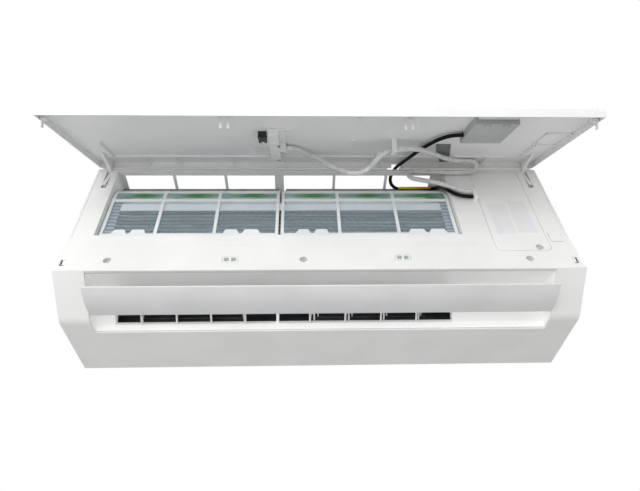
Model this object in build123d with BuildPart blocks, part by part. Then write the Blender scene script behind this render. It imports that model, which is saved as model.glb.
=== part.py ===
from build123d import *
from math import cos, hypot, pi, radians, sin, tan
import os

os.makedirs("parts", exist_ok=True)

# Wall-mounted indoor unit of a split air conditioner, with its front panel swung up.
# Row frame: x to the right, y towards the wall, z up; the wall is the plane y = 0 and the
# origin is the centre of the wall plate's screw pattern. Here a place is given as (x, u, v):
# u is the distance out from the wall and v the height above the unit's underside.

# ---------------------------------------------------------------- driving sizes (mm, degrees)
body_width = 820.0
body_height = 299.0
body_depth = 217.3         # wall to the closed panel's outer face
mount_height = 170.0       # underside to the centre of the screw pattern
shell = 2.5                # moulded casing wall
fit_gap = 0.5              # gap round a piece let into another

panel_skin = 2.0
panel_rim = 13.0           # depth of the panel's edge
panel_gap = 2.0            # closed panel's rim to the band below the filters
panel_foot = 5.0           # nose to the closed panel's lower edge
panel_open = 54.7          # the panel's angle from closed as it is shown, in degrees
band_step = 1.5            # the lower band stands this far in front of the filter face
hinge_back = 28.8          # panel's outer face to the hinge axis
hinge_drop = 4.5           # top of the casing to the hinge axis
hinge_pin = 1.95

nose_setback = 9.8         # panel's outer face to the casing's nose
nose_height = 42.7
bend_back = 72.3           # nose to the bend in the underside
bend_radius = 25.0
step_v = 100.0             # height of the step between the band and the filter face
mouth_inset = 47.0         # casing end to the outlet recess
mouth_u = 106.0            # rear edge of the outlet recess
lip_u, lip_v = 107.0, 15.0  # front edge of the duct floor

opening_insets = (38.0, 176.0)  # casing ends to the filter opening
opening_low = 125.0        # lower edge of the filter opening
opening_top_drop = 4.5     # casing top to the upper edge of the filter opening
rib_xs = (-273.0, -177.0, 28.0, 127.0)
rib_width = 5.0
post_left, post_right = -84.6, -67.9

filter_thickness = 3.0
filter_setback = 10.8      # filter face to the filter's outer surface
filter_radius = 66.0
filter_split_left, filter_split_right = -73.5, -69.5
filter_bar = 5.5
filter_rib_xs = ((-279.0, -180.8), (30.6, 131.4))

fan_u, fan_v = 98.0, 132.0
fan_radius = 49.0
fan_blades = 30
fan_shaft_radius = 4.0
running_gap = 0.05         # radial clearance of a shaft in its bore
motor_radius = 45.0
coil_thickness = 26.0
coil_insets = (20.0, 18.0)  # ends of the filter opening to the ends of the coil
coil_setback = 6.0         # filter to the coil's outer face
tube_radius = 3.5

louver_gap = 2.2           # end of the louver to the side of the recess
louver_thickness = 2.6
louver_pivot = (148.0, 16.0)
vane_thickness = 2.2
vane_fronts = (-291.0, -235.0, -179.5, -125.0, -21.6, 35.8, 94.0, 152.0)
vane_turns = (12.0, -25.0)  # how far the left and the right group are swung as shown

half = body_width / 2
mouth_half = half - mouth_inset
louver_half = mouth_half - louver_gap
opening_left, opening_right = opening_insets[0] - half, half - opening_insets[1]
coil_left, coil_right = opening_left + coil_insets[0], opening_right - coil_insets[1]
face_u = body_depth - panel_rim - panel_gap - band_step
band_u = face_u + band_step
nose_u = body_depth - nose_setback
bend_u = nose_u - bend_back
opening_high = body_height - opening_top_drop
filter_u = face_u - filter_setback
coil_front_u = filter_u - coil_setback - coil_thickness    # rear face of the front fin pack
pan_back = coil_front_u - 4.5
pivot_u, pivot_v = body_depth - hinge_back, body_height - hinge_drop


# ---------------------------------------------------------------- places and small helpers
def at(x, u, v):
    """row position of a place in the unit"""
    return (x, -u, v - mount_height)


def side(x):
    """plane across the unit at x: sketches on it are in (u, v), and extrude runs to the left"""
    return Plane(origin=at(x, 0, 0), x_dir=(0, -1, 0), z_dir=(-1, 0, 0))


def front(u):
    """plane facing out from the wall at u: sketches on it are in (x, v)"""
    return Plane(origin=at(0, u, 0), x_dir=(1, 0, 0), z_dir=(0, -1, 0))


def block(xs, us, vs, mode=Mode.ADD, place=at):
    """box between two limits along each direction"""
    with Locations(place(sum(xs) / 2, sum(us) / 2, sum(vs) / 2)):
        Box(abs(xs[1] - xs[0]), abs(us[1] - us[0]), abs(vs[1] - vs[0]), mode=mode)


def cross_rod(xs, u, v, radius, mode=Mode.ADD, place=at):
    """cylinder along x"""
    with Locations(Location(place(sum(xs) / 2, u, v), (0, 90, 0))):
        Cylinder(radius, abs(xs[1] - xs[0]), mode=mode)


def depth_rod(x, us, v, radius, mode=Mode.ADD, place=at):
    """cylinder along y, between two distances from the wall"""
    with Locations(Location(place(x, sum(us) / 2, v), (90, 0, 0))):
        Cylinder(radius, abs(us[1] - us[0]), mode=mode)


def plate(points, xs, mode=Mode.ADD, plane=side):
    """side outline given by its corners, carried between two x limits"""
    with BuildSketch(plane(max(xs))) as outline:
        Polygon(*points, align=None)
    extrude(outline.sketch, amount=abs(xs[1] - xs[0]), mode=mode)


def save(piece, name):
    """labels a finished piece and writes it"""
    piece.part.label = name
    export_step(piece.part, f"parts/{name}.step")


def casing_outline(inset=0.0):
    """closed side outline of the casing, in the current sketch"""
    made = Polygon(
        (1, 0), (bend_u, 0), (nose_u, nose_height), (nose_u, nose_height + 3.5),
        (band_u, nose_height + 5), (band_u, step_v - 1), (face_u, step_v + 0.5),
        (face_u, body_height), (1, body_height), align=None)
    fillet(made.vertices().sort_by_distance((bend_u, 0, 0))[0], radius=bend_radius)
    if inset:
        offset(amount=-inset, kind=Kind.INTERSECTION, mode=Mode.REPLACE)


# ---------------------------------------------------------------- the duct's own directions
floor_angle = 55.1         # slope of the duct floor
floor_back = (-cos(radians(floor_angle)), sin(radians(floor_angle)))
floor_up = (sin(radians(floor_angle)), cos(radians(floor_angle)))


def duct(height, back):
    """(u, v) of a point so far above the duct floor and so far back from its lip"""
    return (lip_u + height * floor_up[0] + back * floor_back[0],
            lip_v + height * floor_up[1] + back * floor_back[1])


duct_insets = (38.0, 21.0)  # ends of the filter opening to the ends of the duct
duct_left, duct_right = opening_left + duct_insets[0], opening_right - duct_insets[1]
duct_wall = 2.2
lip_run = 10.0             # the white lip, before the darker scroll begins
scroll_line = 96.0         # straight part of the floor, from the lip
scroll_gap = 13.0          # fan to the scroll, at its start
scroll_radius = fan_radius + scroll_gap
scroll_centre = duct(scroll_radius, scroll_line)
scroll_start = 270 - floor_angle
scroll_end = 150.0
roof_front = (nose_u - 6.6, nose_height - 0.7)
roof_corner = (pan_back - 2.5, 57.0)
roof_height = (roof_corner[0] - lip_u) * floor_up[0] + (roof_corner[1] - lip_v) * floor_up[1]
baffle_top = (pan_back - 10, 90.0)
support_x = -73.6          # middle support in the outlet
vane_pivot_back = 13.0     # vane pivots, up the floor from the lip
vane_lead, vane_tail = 18.3, 20.0
vane_pin = 1.5
floor_normal = (0, -floor_up[0], floor_up[1])


def vane_turn(number):
    """how far a vane is swung as shown, front edge towards +x"""
    return vane_turns[0] if number < 4 else vane_turns[1]


def vane_x(number):
    """x of a vane's pivot, from where its front edge shows"""
    return vane_fronts[number] - vane_lead * sin(radians(vane_turn(number)))


def vane_origin(number, height=0.0, back=0.0):
    """row position over a vane's pivot"""
    return at(vane_x(number), *duct(height, vane_pivot_back + back))

# ---------------------------------------------------------------- wall plate
plate_sheet = 1.2
plate_half = half - 80
plate_low, plate_high = 45.0, body_height - 31
screw_span_x, screw_span_v = 560.0, 150.0
screw_hole = 2.75
hook_xs = (-240.0, 0.0, 240.0)
hook_half = 17.0
hook_v = body_height - 37
back_front, back_rear = 10.5, 8.0   # chassis back wall

with BuildPart() as wall_plate:
    block((-plate_half, plate_half), (0, plate_sheet), (plate_low, plate_high))
    for v_low, v_high in ((70, 84), (118, 150), (190, 222)):
        for x_mid in (-190, 190):
            block((x_mid - 60, x_mid + 60), (-1, 5), (v_low, v_high), Mode.SUBTRACT)
    for v_rib in (107.0, 170.0, 232.0):
        block((12 - plate_half, plate_half - 12), (plate_sheet, plate_sheet + 2.4),
              (v_rib - 3, v_rib + 3))
    for x_hook in hook_xs:
        xs = (x_hook - hook_half, x_hook + hook_half)
        block(xs, (0, back_front + 2.5), (hook_v, hook_v + plate_sheet))
        block(xs, (back_front + 1.3, back_front + 2.5), (hook_v, hook_v + 10))
    with Locations(Location((0, -plate_sheet, 0), (90, 0, 0))):
        with GridLocations(screw_span_x, screw_span_v, 2, 2):
            Cylinder(screw_hole, 12, mode=Mode.SUBTRACT)
        Cylinder(screw_hole, 12, mode=Mode.SUBTRACT)
save(wall_plate, "wall_plate")

# ---------------------------------------------------------------- rear chassis
chassis_half = half - shell - 3.5
chassis_top = body_height - 9.0
channel_low, channel_high = 14.0, 80.0
knockout_u, knockout_v = (5.0, 46.0), (16.0, 68.0)  # way out for the pipes at the left end
coil_bend_v = body_height - 91.0                   # top of the front fin pack
crest_u, crest_v = 104.0, body_height - 37.0       # top inner corner of the rear fin pack
trough_v = crest_v - 105                           # drip trough below the rear fin pack
bearing_hole = 17.0
bulkhead = 3.0

with BuildPart() as rear_chassis:
    block((-chassis_half, chassis_half), (back_rear, back_front), (3, chassis_top))
    for x_side in (-chassis_half, chassis_half - shell):
        block((x_side, x_side + shell), (1, 60), (3, chassis_top))
    block((-chassis_half, chassis_half), (1, back_front), (chassis_top - shell, chassis_top))
    block((-chassis_half, chassis_half), (1, lip_u - 5), (3, 3 + shell))
    block((shell - chassis_half, duct_right + 27), (7, 12), (channel_low, channel_high),
          Mode.SUBTRACT)
    block((-chassis_half - 1, shell - chassis_half + 1), knockout_u, knockout_v, Mode.SUBTRACT)
    trough_xs = (duct_left - 18, duct_right + bulkhead)
    block(trough_xs, (back_rear, 49), (trough_v, trough_v + shell))
    block(trough_xs, (46.5, 49), (trough_v, trough_v + 15))
    for x_low, x_high, wall in ((duct_left, duct_right, duct_wall),
                                (duct_left - bulkhead, duct_left, 0),
                                (duct_right, duct_right + bulkhead, 0)):
        with BuildSketch(side(x_high)):
            with BuildLine():
                inside = 0 if wall else duct_wall
                floor = Line(duct(-inside, lip_run + 0.4), duct(-inside, scroll_line))
                curl = CenterArc(scroll_centre, scroll_radius + inside, scroll_start,
                                 scroll_end - scroll_start)
                if wall:
                    rear = CenterArc(scroll_centre, scroll_radius + wall, scroll_start,
                                     scroll_end - scroll_start)
                    Line(curl @ 1, rear @ 1)
                    Polyline(rear @ 0, duct(-wall, lip_run + 0.4), floor @ 0)
                else:
                    Polyline(curl @ 1, (47.5, trough_v + 13), (46, crest_v - 84),
                             (crest_u, crest_v - 4), (crest_u + 6, crest_v + 1),
                             (coil_front_u - 10, coil_bend_v + 3),
                             (coil_front_u - 4, coil_bend_v - 3),
                             (coil_front_u - 4, baffle_top[1] + 6),
                             (baffle_top[0] - 1.2, baffle_top[1] + 1.6), floor @ 0)
            make_face()
        extrude(amount=x_high - x_low)
    cross_rod((duct_left - 4, duct_left + 1), fan_u, fan_v, bearing_hole, Mode.SUBTRACT)
    cross_rod((duct_right - 1, duct_right + 4), fan_u, fan_v, 12, Mode.SUBTRACT)
    for number in range(len(vane_fronts)):
        with Locations(Plane(origin=vane_origin(number), z_dir=floor_normal)):
            Cylinder(vane_pin + running_gap, 8, mode=Mode.SUBTRACT)
    for x_hook in hook_xs:
        block((x_hook - hook_half - 2, x_hook + hook_half + 2), (7, 12),
              (hook_v - 3, hook_v + 14), Mode.SUBTRACT)
save(rear_chassis, "rear_chassis")

# ---------------------------------------------------------------- outlet housing
housing_wall = 2.2
sill_gap = 0.7             # housing to the inside of the casing
louver_pin = 3.5
roof_front_top = (roof_front[0], roof_front[1] + 2.5)
roof_corner_top = (roof_corner[0] + 1.5, roof_corner[1] + 1.5)
roof_corner_low = (roof_corner[0] - 0.6, roof_corner[1] - 0.5)
baffle_low = (baffle_top[0] - 0.9, baffle_top[1] - 0.5)


def sill(u):
    """height just above the casing's sloping underside at u"""
    return (u - bend_u) * nose_height / bend_back + 1.17 * shell + 0.3


duct_end = [duct(0, 0), duct(0, lip_run), baffle_low, roof_corner_low]

with BuildPart() as outlet_housing:
    plate([roof_front, roof_front_top, roof_corner_top, (baffle_top[0] + 1.5, baffle_top[1]),
           baffle_low, roof_corner_low], (-mouth_half, mouth_half))
    plate([(lip_u, shell + sill_gap), (lip_u, lip_v), duct(0, lip_run),
           duct(-housing_wall, lip_run), (lip_u - housing_wall, lip_v - 1.2),
           (lip_u - housing_wall, shell + sill_gap)], (-mouth_half, mouth_half))
    for x_low, x_high in ((-mouth_half, duct_left), (duct_right, mouth_half)):
        plate([duct(0, 0), roof_corner, (roof_corner[0] - 0.6, roof_corner[1] + 2),
               (lip_u - 1.6, lip_v + 1.5)], (x_low, x_high))
    for x_low, wide in ((duct_left - housing_wall, housing_wall), (duct_right, housing_wall),
                        (support_x - housing_wall, 2 * housing_wall)):
        plate(duct_end, (x_low, x_low + wide))
    for x_low in (-mouth_half - housing_wall, mouth_half):
        plate([(lip_u - 3, shell + sill_gap), (bend_u - 2, shell + sill_gap),
               (roof_front[0] - 6, sill(roof_front[0] - 6)), roof_front, roof_front_top,
               roof_corner_top, (lip_u - 3, lip_v + 0.5)], (x_low, x_low + housing_wall))
        cross_rod((x_low - 1, x_low + housing_wall + 1), *louver_pivot,
                  louver_pin + running_gap, Mode.SUBTRACT)
save(outlet_housing, "outlet_housing")

# ---------------------------------------------------------------- drain pan
pan_low, pan_high = 60.5, 94.0
coil_low = 92.0            # underside of the front fin pack
pan_front = filter_u
pan_left, pan_right = opening_left + 27, opening_right - 9
screw_radius = 2.0
boss_radius = 5.0
pan_screws = ((pan_left + 9.2, 68.0), (-31.3, 68.0))
box_screws = ((half - 80.3, 67.7), (half - 56.5, 92.8))
screw_tip_u = 178.0

with BuildPart() as drain_pan:
    block((pan_left, pan_right), (pan_back, pan_front), (pan_low, pan_high))
    block((pan_left + housing_wall, pan_right - housing_wall),
          (pan_back + housing_wall, pan_front - housing_wall),
          (pan_low + housing_wall, pan_high + 5), Mode.SUBTRACT)
    block((pan_left - 1, pan_right + 1), (pan_back - 1, pan_front - housing_wall),
          (coil_low - 1, pan_high + 1), Mode.SUBTRACT)
    for x_screw, v_screw in pan_screws:
        depth_rod(x_screw, (pan_front - 14, pan_front), v_screw, boss_radius)
        depth_rod(x_screw, (pan_front - 13, pan_front + 1), v_screw, screw_radius + running_gap,
                  Mode.SUBTRACT)
    cross_rod((pan_left - 16, pan_left + 1), pan_back + 12, pan_low + 10, 8)
    cross_rod((pan_left - 17, pan_left + 3), pan_back + 12, pan_low + 10, 6, Mode.SUBTRACT)
    cross_rod((pan_right - 1, pan_right + 10), pan_back + 12, pan_low + 10, 8)
    cross_rod((pan_right - 3, pan_right + 11), pan_back + 12, pan_low + 10, 6, Mode.SUBTRACT)
save(drain_pan, "drain_pan")

with BuildPart() as drain_plug:
    cross_rod((pan_right, pan_right + 12), pan_back + 12, pan_low + 10, 6)
    cross_rod((pan_right + 10, pan_right + 12), pan_back + 12, pan_low + 10, 8)
save(drain_plug, "drain_plug")

# ---------------------------------------------------------------- front frame
grille_left, grille_right = opening_left + 8, opening_right - 22
grille_back, grille_front = 40.0, 190.0
grille_pitch, grille_bar = 12.0, 2.5
bars_end_u = 150.0
cheek = 2.5
hinge_inset = 22.0         # casing end to a hinge
hinge_xs = (hinge_inset - half, half - hinge_inset)
arm_width = 6.0
slot_half = arm_width / 2 + 1.5
slot_low = body_height - 53
cover_left, cover_right = half - 128, half - 38
cover_low, cover_high = 85.5, body_height - 8
cover_corner = 8.0
button_at = (half - 22.5, 116.3)
button_half = 10.0
catch_at = ((-146.0, 68.8), (126.2, 71.3))
catch_half = (12.0, 6.0)
corner_x = (half - 12, half - 4)
corner_v = (57.0, 70.0)
grommet_x = (half - 139, half - 131)
grommet_v = (207.0, 230.0)
bores = (*pan_screws, box_screws[0])

with BuildPart() as front_frame:
    with BuildSketch(side(half)):
        casing_outline()
    extrude(amount=body_width)
    with BuildSketch(side(half - shell)):
        casing_outline(shell)
    extrude(amount=body_width - 2 * shell, mode=Mode.SUBTRACT)
    block((-half + shell, half - shell), (-1, 30), (shell, body_height - shell), Mode.SUBTRACT)
    block((-half - 1, shell - half + 1), knockout_u, knockout_v, Mode.SUBTRACT)
    # filter opening with its cheeks and shelf
    block((opening_left, opening_right), (face_u - 6, face_u + 4), (opening_low, opening_high),
          Mode.SUBTRACT)
    for x_low in (opening_left - cheek, opening_right):
        plate([(face_u - 2, opening_low - 5), (face_u - 2, body_height - shell),
               (60, body_height - shell), (60, body_height - 9), (135, body_height - 9),
               (184, body_height - 49), (184, opening_low - 5)], (x_low, x_low + cheek))
    block((opening_left, opening_right), (filter_u - 4, face_u - 2),
          (opening_low - shell, opening_low))
    # air grille in the top
    block((grille_left, grille_right), (grille_back, grille_front),
          (body_height - 6, body_height + 1), Mode.SUBTRACT)
    bar_u = grille_back + grille_pitch
    while bar_u < bars_end_u:
        block((grille_left, grille_right), (bar_u - grille_bar / 2, bar_u + grille_bar / 2),
              (body_height - shell, body_height))
        bar_u += grille_pitch
    for x_rib in rib_xs:
        block((x_rib - rib_width / 2, x_rib + rib_width / 2), (grille_back, grille_front),
              (body_height - shell - 1, body_height))
    block((post_left, post_right), (grille_back, grille_front),
          (body_height - shell - 1, body_height))
    block((opening_left, opening_right), (grille_front, face_u - 1),
          (opening_high, body_height - 1))
    # outlet mouth
    plate([(nose_u + 12, nose_height - 0.7), (nose_u - 7.5, nose_height - 0.7),
           (nose_u - 17.5, nose_height - 6.5), (bend_u, 6), (mouth_u, 6), (mouth_u, -5),
           (nose_u + 12, -5)], (-mouth_half, mouth_half), Mode.SUBTRACT)
    # panel hinges: a slot and a pin at each end
    for x_hinge in hinge_xs:
        for x_low in (x_hinge - slot_half - 3, x_hinge + slot_half):
            block((x_low, x_low + 3), (pivot_u - 6, face_u - 1),
                  (pivot_v - 9, body_height - 1))
        block((x_hinge - slot_half, x_hinge + slot_half), (pivot_u - 14, face_u + 5),
              (slot_low, body_height + 1), Mode.SUBTRACT)
        cross_rod((x_hinge - slot_half - 1, x_hinge + slot_half + 1), pivot_u, pivot_v,
                  hinge_pin)
    # screw recesses
    for x_screw, v_screw in bores:
        depth_rod(x_screw, (pan_front + 2, band_u - 1), v_screw, 8)
        depth_rod(x_screw, (pan_front + 5, band_u + 1), v_screw, 6, Mode.SUBTRACT)
        depth_rod(x_screw, (pan_front, band_u), v_screw, screw_radius + 0.2, Mode.SUBTRACT)
    # openings for the panel catches, corner hooks, button, cover and cable grommet
    for x_catch, v_catch in catch_at:
        block((x_catch - catch_half[0] - fit_gap, x_catch + catch_half[0] + fit_gap),
              (band_u - 6, band_u + 2),
              (v_catch - catch_half[1] - fit_gap, v_catch + catch_half[1] + fit_gap),
              Mode.SUBTRACT)
    for turn in (-1, 1):
        xs = (turn * corner_x[0], turn * corner_x[1])
        block(xs, (band_u - 6, band_u + 2), corner_v, Mode.SUBTRACT)
        block((turn * (corner_x[0] - 1), turn * (corner_x[1] - 2.8)),
              (band_u - 4.5, band_u - 1.5), (corner_v[0] + 3, corner_v[1] + 1))
        block((turn * (half - 4.3), turn * (half - 3.7)), (face_u - 0.6, face_u + 1),
              (step_v + 20, body_height + 1), Mode.SUBTRACT)
    with BuildSketch(front(face_u - 6)):
        with Locations(button_at):
            RectangleRounded(2 * button_half + 2 * fit_gap, 2 * button_half + 2 * fit_gap, 3)
    extrude(amount=12, mode=Mode.SUBTRACT)
    block((cover_left - 3, cover_left + 4), (face_u - shell - 2, face_u - shell),
          (step_v + 10, cover_high + 3))
    block((cover_right - 4, cover_right + 4), (face_u - shell - 2, face_u - shell),
          (step_v + 30, cover_high + 3))
    block((cover_left + 4, cover_right - 32), (band_u - shell - 2, band_u - shell),
          (cover_low - 5, cover_low + 4))
    with BuildSketch(front(face_u - shell)):
        cutout = Polygon((cover_left - fit_gap, cover_low - fit_gap),
                         (cover_right + fit_gap, cover_low - fit_gap),
                         (cover_right + fit_gap, cover_high + fit_gap),
                         (cover_left - fit_gap, cover_high + fit_gap), align=None)
        fillet(cutout.vertices().group_by(Axis.Y)[0], radius=cover_corner + fit_gap)
    extrude(amount=10, mode=Mode.SUBTRACT)
    block((grommet_x[0] + 1, grommet_x[1] - 1), (face_u - 6, face_u + 2),
          (grommet_v[0] + 2, grommet_v[1] - 2), Mode.SUBTRACT)
save(front_frame, "front_frame")

with BuildPart() as frame_screws:
    for x_screw, v_screw in (*bores, box_screws[1]):
        depth_rod(x_screw, (screw_tip_u, pan_front + 6), v_screw, screw_radius)
        depth_rod(x_screw, (pan_front + 5, pan_front + 7.6), v_screw, 4.2)
        with BuildSketch(front(pan_front + 7.6)):
            with Locations((x_screw, v_screw)):
                Rectangle(5, 1.1)
                Rectangle(1.1, 5)
        extrude(amount=-1.4, mode=Mode.SUBTRACT)
save(frame_screws, "frame_screws")

with BuildPart() as panel_catches:
    for x_catch, v_catch in catch_at:
        block((x_catch - catch_half[0], x_catch + catch_half[0]), (band_u - 12, band_u),
              (v_catch - catch_half[1], v_catch + catch_half[1]))
        for x_window in (x_catch - 5.5, x_catch + 5.5):
            block((x_window - 3.8, x_window + 3.8), (band_u - 10, band_u + 1),
                  (v_catch - 3.8, v_catch + 3.8), Mode.SUBTRACT)
save(panel_catches, "panel_catches")

with BuildPart() as cable_grommet:
    block(grommet_x, (face_u, face_u + 12), grommet_v)
    block((grommet_x[0] + 1, grommet_x[1] - 1), (face_u - 4, face_u),
          (grommet_v[0] + 2, grommet_v[1] - 2))
    fillet(cable_grommet.edges().filter_by(Axis.X).sort_by(Axis.Y)[:2], radius=3)
save(cable_grommet, "cable_grommet")

# ---------------------------------------------------------------- evaporator
tube_gap = 0.05
fin_rows = (coil_thickness / 4, coil_thickness * 3 / 4)  # tube rows, from the inner face
front_slab = ((coil_front_u, coil_low), (0, 1), (1, 0), coil_bend_v - coil_low)
top_slab = ((coil_front_u - 6, coil_bend_v + 4), (-0.582, 0.813), (0.813, 0.582), 68.0)
rear_slab = ((crest_u, crest_v), (-0.584, -0.812), (-0.812, 0.584), 101.0)


def on_slab(slab, row, along):
    """(u, v) of a tube, from its distance to the inner face and along the slab"""
    start, run, out, length = slab
    return (start[0] + row * out[0] + along * run[0], start[1] + row * out[1] + along * run[1])


inner, outer = fin_rows
circuit = [on_slab(rear_slab, inner, 14)]
circuit += [on_slab(top_slab, inner, t) for t in (53, 32, 11)]
circuit += [on_slab(front_slab, inner, t) for t in (94, 73, 52, 31, 10)]
circuit += [on_slab(front_slab, outer, t) for t in (20.5, 41.5, 62.5, 83.5, 104.5)]
circuit += [on_slab(top_slab, outer, t) for t in (19, 40, 61)]
circuit += [on_slab(rear_slab, outer, 23), on_slab(rear_slab, inner, 35),
            on_slab(rear_slab, outer, 44), on_slab(rear_slab, inner, 56),
            on_slab(rear_slab, outer, 65), on_slab(rear_slab, inner, 77),
            on_slab(rear_slab, outer, 86)]


def slab_outline(slab):
    """corners of a slab's side outline"""
    return [on_slab(slab, 0, 0), on_slab(slab, coil_thickness, 0),
            on_slab(slab, coil_thickness, slab[3]), on_slab(slab, 0, slab[3])]


def bore_tubes(x_low, x_high):
    """clears the tube circuit out of the current piece"""
    with BuildSketch(side(x_high)) as holes:
        with Locations(*circuit):
            Circle(tube_radius + tube_gap)
    extrude(holes.sketch, amount=x_high - x_low, mode=Mode.SUBTRACT)


for slab_name, slab in (("fin_pack_front", front_slab), ("fin_pack_top", top_slab),
                        ("fin_pack_rear", rear_slab)):
    with BuildPart() as fin_pack:
        plate(slab_outline(slab), (coil_left, coil_right))
        bore_tubes(coil_left, coil_right)
    save(fin_pack, slab_name)

end_sheet = 1.2
with BuildPart() as evaporator_end_plates:
    for x_low in (coil_left - end_sheet, coil_right):
        for slab in (front_slab, top_slab, rear_slab):
            plate(slab_outline(slab), (x_low, x_low + end_sheet))
        bore_tubes(x_low, x_low + end_sheet)
save(evaporator_end_plates, "evaporator_end_plates")

tube_left, tube_right = coil_left - end_sheet - 1, coil_right + end_sheet + 1
with BuildPart() as evaporator_tubes:
    with BuildLine() as winding:
        for number, place in enumerate(circuit):
            x_start, x_end = ((tube_right, tube_left), (tube_left, tube_right))[number % 2]
            Line(at(x_start, *place), at(x_end, *place))
            if number + 1 < len(circuit):
                beyond = circuit[number + 1]
                bow = hypot(place[0] - beyond[0], place[1] - beyond[1]) / 2
                turn = x_end + (bow if x_end > x_start else -bow)
                ThreePointArc(at(x_end, *place),
                              at(turn, (place[0] + beyond[0]) / 2, (place[1] + beyond[1]) / 2),
                              at(x_end, *beyond))
    with BuildSketch(side(tube_right)):
        with Locations(circuit[0]):
            Circle(tube_radius)
    sweep(path=winding.line)
save(evaporator_tubes, "evaporator_tubes")

with BuildPart() as coil_seals:
    seal_v = coil_bend_v + fit_gap
    coil_face_u = coil_front_u + coil_thickness
    plate([(coil_face_u - 14, seal_v), (coil_face_u + 1, seal_v), (coil_face_u, seal_v + 15.5),
           on_slab(top_slab, coil_thickness + 2.7, -fit_gap),
           on_slab(top_slab, coil_thickness - 9, -fit_gap)], (coil_left, coil_right))
    end_near, end_far = slab_outline(top_slab)[:1:-1]  # inner and outer corner of its far end
    plate([(end_near[0] - 4.424, end_near[1] - 2.284), (end_far[0] - 1.562, end_far[1] + 0.584),
           (crest_u + 4, crest_v + 23), (crest_u - 17, crest_v + 14.6)], (coil_left, coil_right))
save(coil_seals, "coil_seals")

sensor_u, sensor_v = coil_front_u + coil_thickness / 2 + 1, coil_bend_v + 6
with BuildPart() as coil_sensor:
    cross_rod((coil_right + end_sheet, coil_right + 15), sensor_u, sensor_v, 3)
save(coil_sensor, "coil_sensor")

with BuildPart() as sensor_sleeve:
    cross_rod((coil_right - 64, coil_right - 2), 167, body_height - 13.5, 2.5)
save(sensor_sleeve, "sensor_sleeve")

# ---------------------------------------------------------------- refrigerant pipes
gas_radius, liquid_radius = 4.76, 3.175
union_thread = {"gas": 7.94, "liquid": 5.56}
pipe_u, gas_v, liquid_v = 27.0, 50.0, 32.0
union_x = -300.0
gas_x, liquid_x = coil_right + 30, coil_right + 46


def pipe(points, radius, bend):
    """round pipe along straight runs with one bend radius"""
    with BuildLine() as run:
        FilletPolyline(*[at(*point) for point in points], radius=bend)
    with BuildSketch(Plane(origin=run.line @ 0, z_dir=run.line % 0)) as section:
        Circle(radius)
    sweep(section.sketch, path=run.line)


gas_start, liquid_start = circuit[-1], circuit[0]
with BuildPart() as gas_pipe:
    pipe([(tube_right, *gas_start), (gas_x, *gas_start), (gas_x, pipe_u, gas_v + 100),
          (gas_x, pipe_u, gas_v), (union_x, pipe_u, gas_v)], gas_radius, 12)
save(gas_pipe, "gas_pipe")

with BuildPart() as liquid_pipe:
    pipe([(tube_right, *liquid_start), (liquid_x, *liquid_start), (liquid_x, 20, 190),
          (liquid_x, 20, liquid_v), (union_x, 20, liquid_v)], liquid_radius, 12)
save(liquid_pipe, "liquid_pipe")

with BuildPart() as flare_nuts:
    for u_pipe, v_pipe, thread, pipe_radius in (
            (pipe_u, gas_v, union_thread["gas"], gas_radius),
            (20, liquid_v, union_thread["liquid"], liquid_radius)):
        with BuildSketch(side(union_x + 14)):
            with Locations((u_pipe, v_pipe)):
                RegularPolygon(thread + 2.2, 6)
        extrude(amount=18)
        cross_rod((union_x - 18, union_x), u_pipe, v_pipe, thread)
        cross_rod((union_x, union_x + 15), u_pipe, v_pipe, pipe_radius, Mode.SUBTRACT)
save(flare_nuts, "flare_nuts")

# ---------------------------------------------------------------- fan and its bearings
fan_left, fan_right = duct_left + 7, duct_right - 7
fan_disc = 2.0
blade_depth, blade_sheet = 10.0, 1.2
disc_count = 7
boss_out = 10.0

blade_root = fan_radius - blade_depth
with BuildSketch() as blade:
    with BuildLine():
        blade_front = ThreePointArc((blade_root, -1.5), (fan_radius - 5.6, -2.2),
                                    (fan_radius - 0.6, 1.4))
        blade_back = ThreePointArc((blade_root, blade_sheet - 1.5),
                                   (fan_radius - 5.6, blade_sheet - 2.2),
                                   (fan_radius - 1.4, blade_sheet + 1.4))
        Line(blade_front @ 0, blade_back @ 0)
        Line(blade_front @ 1, blade_back @ 1)
    make_face()

with BuildPart() as cross_flow_fan:
    with BuildSketch(Plane(origin=at(fan_right, fan_u, fan_v), x_dir=(0, -1, 0),
                           z_dir=(-1, 0, 0))):
        with PolarLocations(0, fan_blades):
            add(blade.sketch)
    extrude(amount=fan_right - fan_left)
    for number in range(disc_count):
        x_disc = fan_left + (fan_right - fan_left - fan_disc) * number / (disc_count - 1)
        cross_rod((x_disc, x_disc + fan_disc), fan_u, fan_v, fan_radius)
        if 0 < number < disc_count - 1:
            cross_rod((x_disc, x_disc + fan_disc), fan_u, fan_v,
                      blade_root - 1, Mode.SUBTRACT)
    cross_rod((fan_left, fan_left + 12), fan_u, fan_v, boss_out)
    cross_rod((fan_right - 14, fan_right), fan_u, fan_v, boss_out)
    cross_rod((fan_left - 1, fan_left + 13), fan_u, fan_v, fan_shaft_radius, Mode.SUBTRACT)
    cross_rod((fan_right - 15, fan_right + 1), fan_u, fan_v, fan_shaft_radius, Mode.SUBTRACT)
save(cross_flow_fan, "cross_flow_fan")

motor_left, motor_right = duct_right + 19, duct_right + 79
with BuildPart() as fan_shaft:
    cross_rod((duct_left - 14, fan_left + 12), fan_u, fan_v, fan_shaft_radius)
    cross_rod((fan_right - 14, motor_left + 12), fan_u, fan_v, fan_shaft_radius)
save(fan_shaft, "fan_shaft")

bush_radius = 11.0
with BuildPart() as bearing_holder:
    cross_rod((duct_left - 4, duct_left), fan_u, fan_v, bearing_hole)
    cross_rod((duct_left - 5, duct_left - bulkhead), fan_u, fan_v, bearing_hole + 3)
    cross_rod((duct_left - 6, duct_left + 1), fan_u, fan_v, bush_radius, Mode.SUBTRACT)
save(bearing_holder, "bearing_holder")

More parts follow.
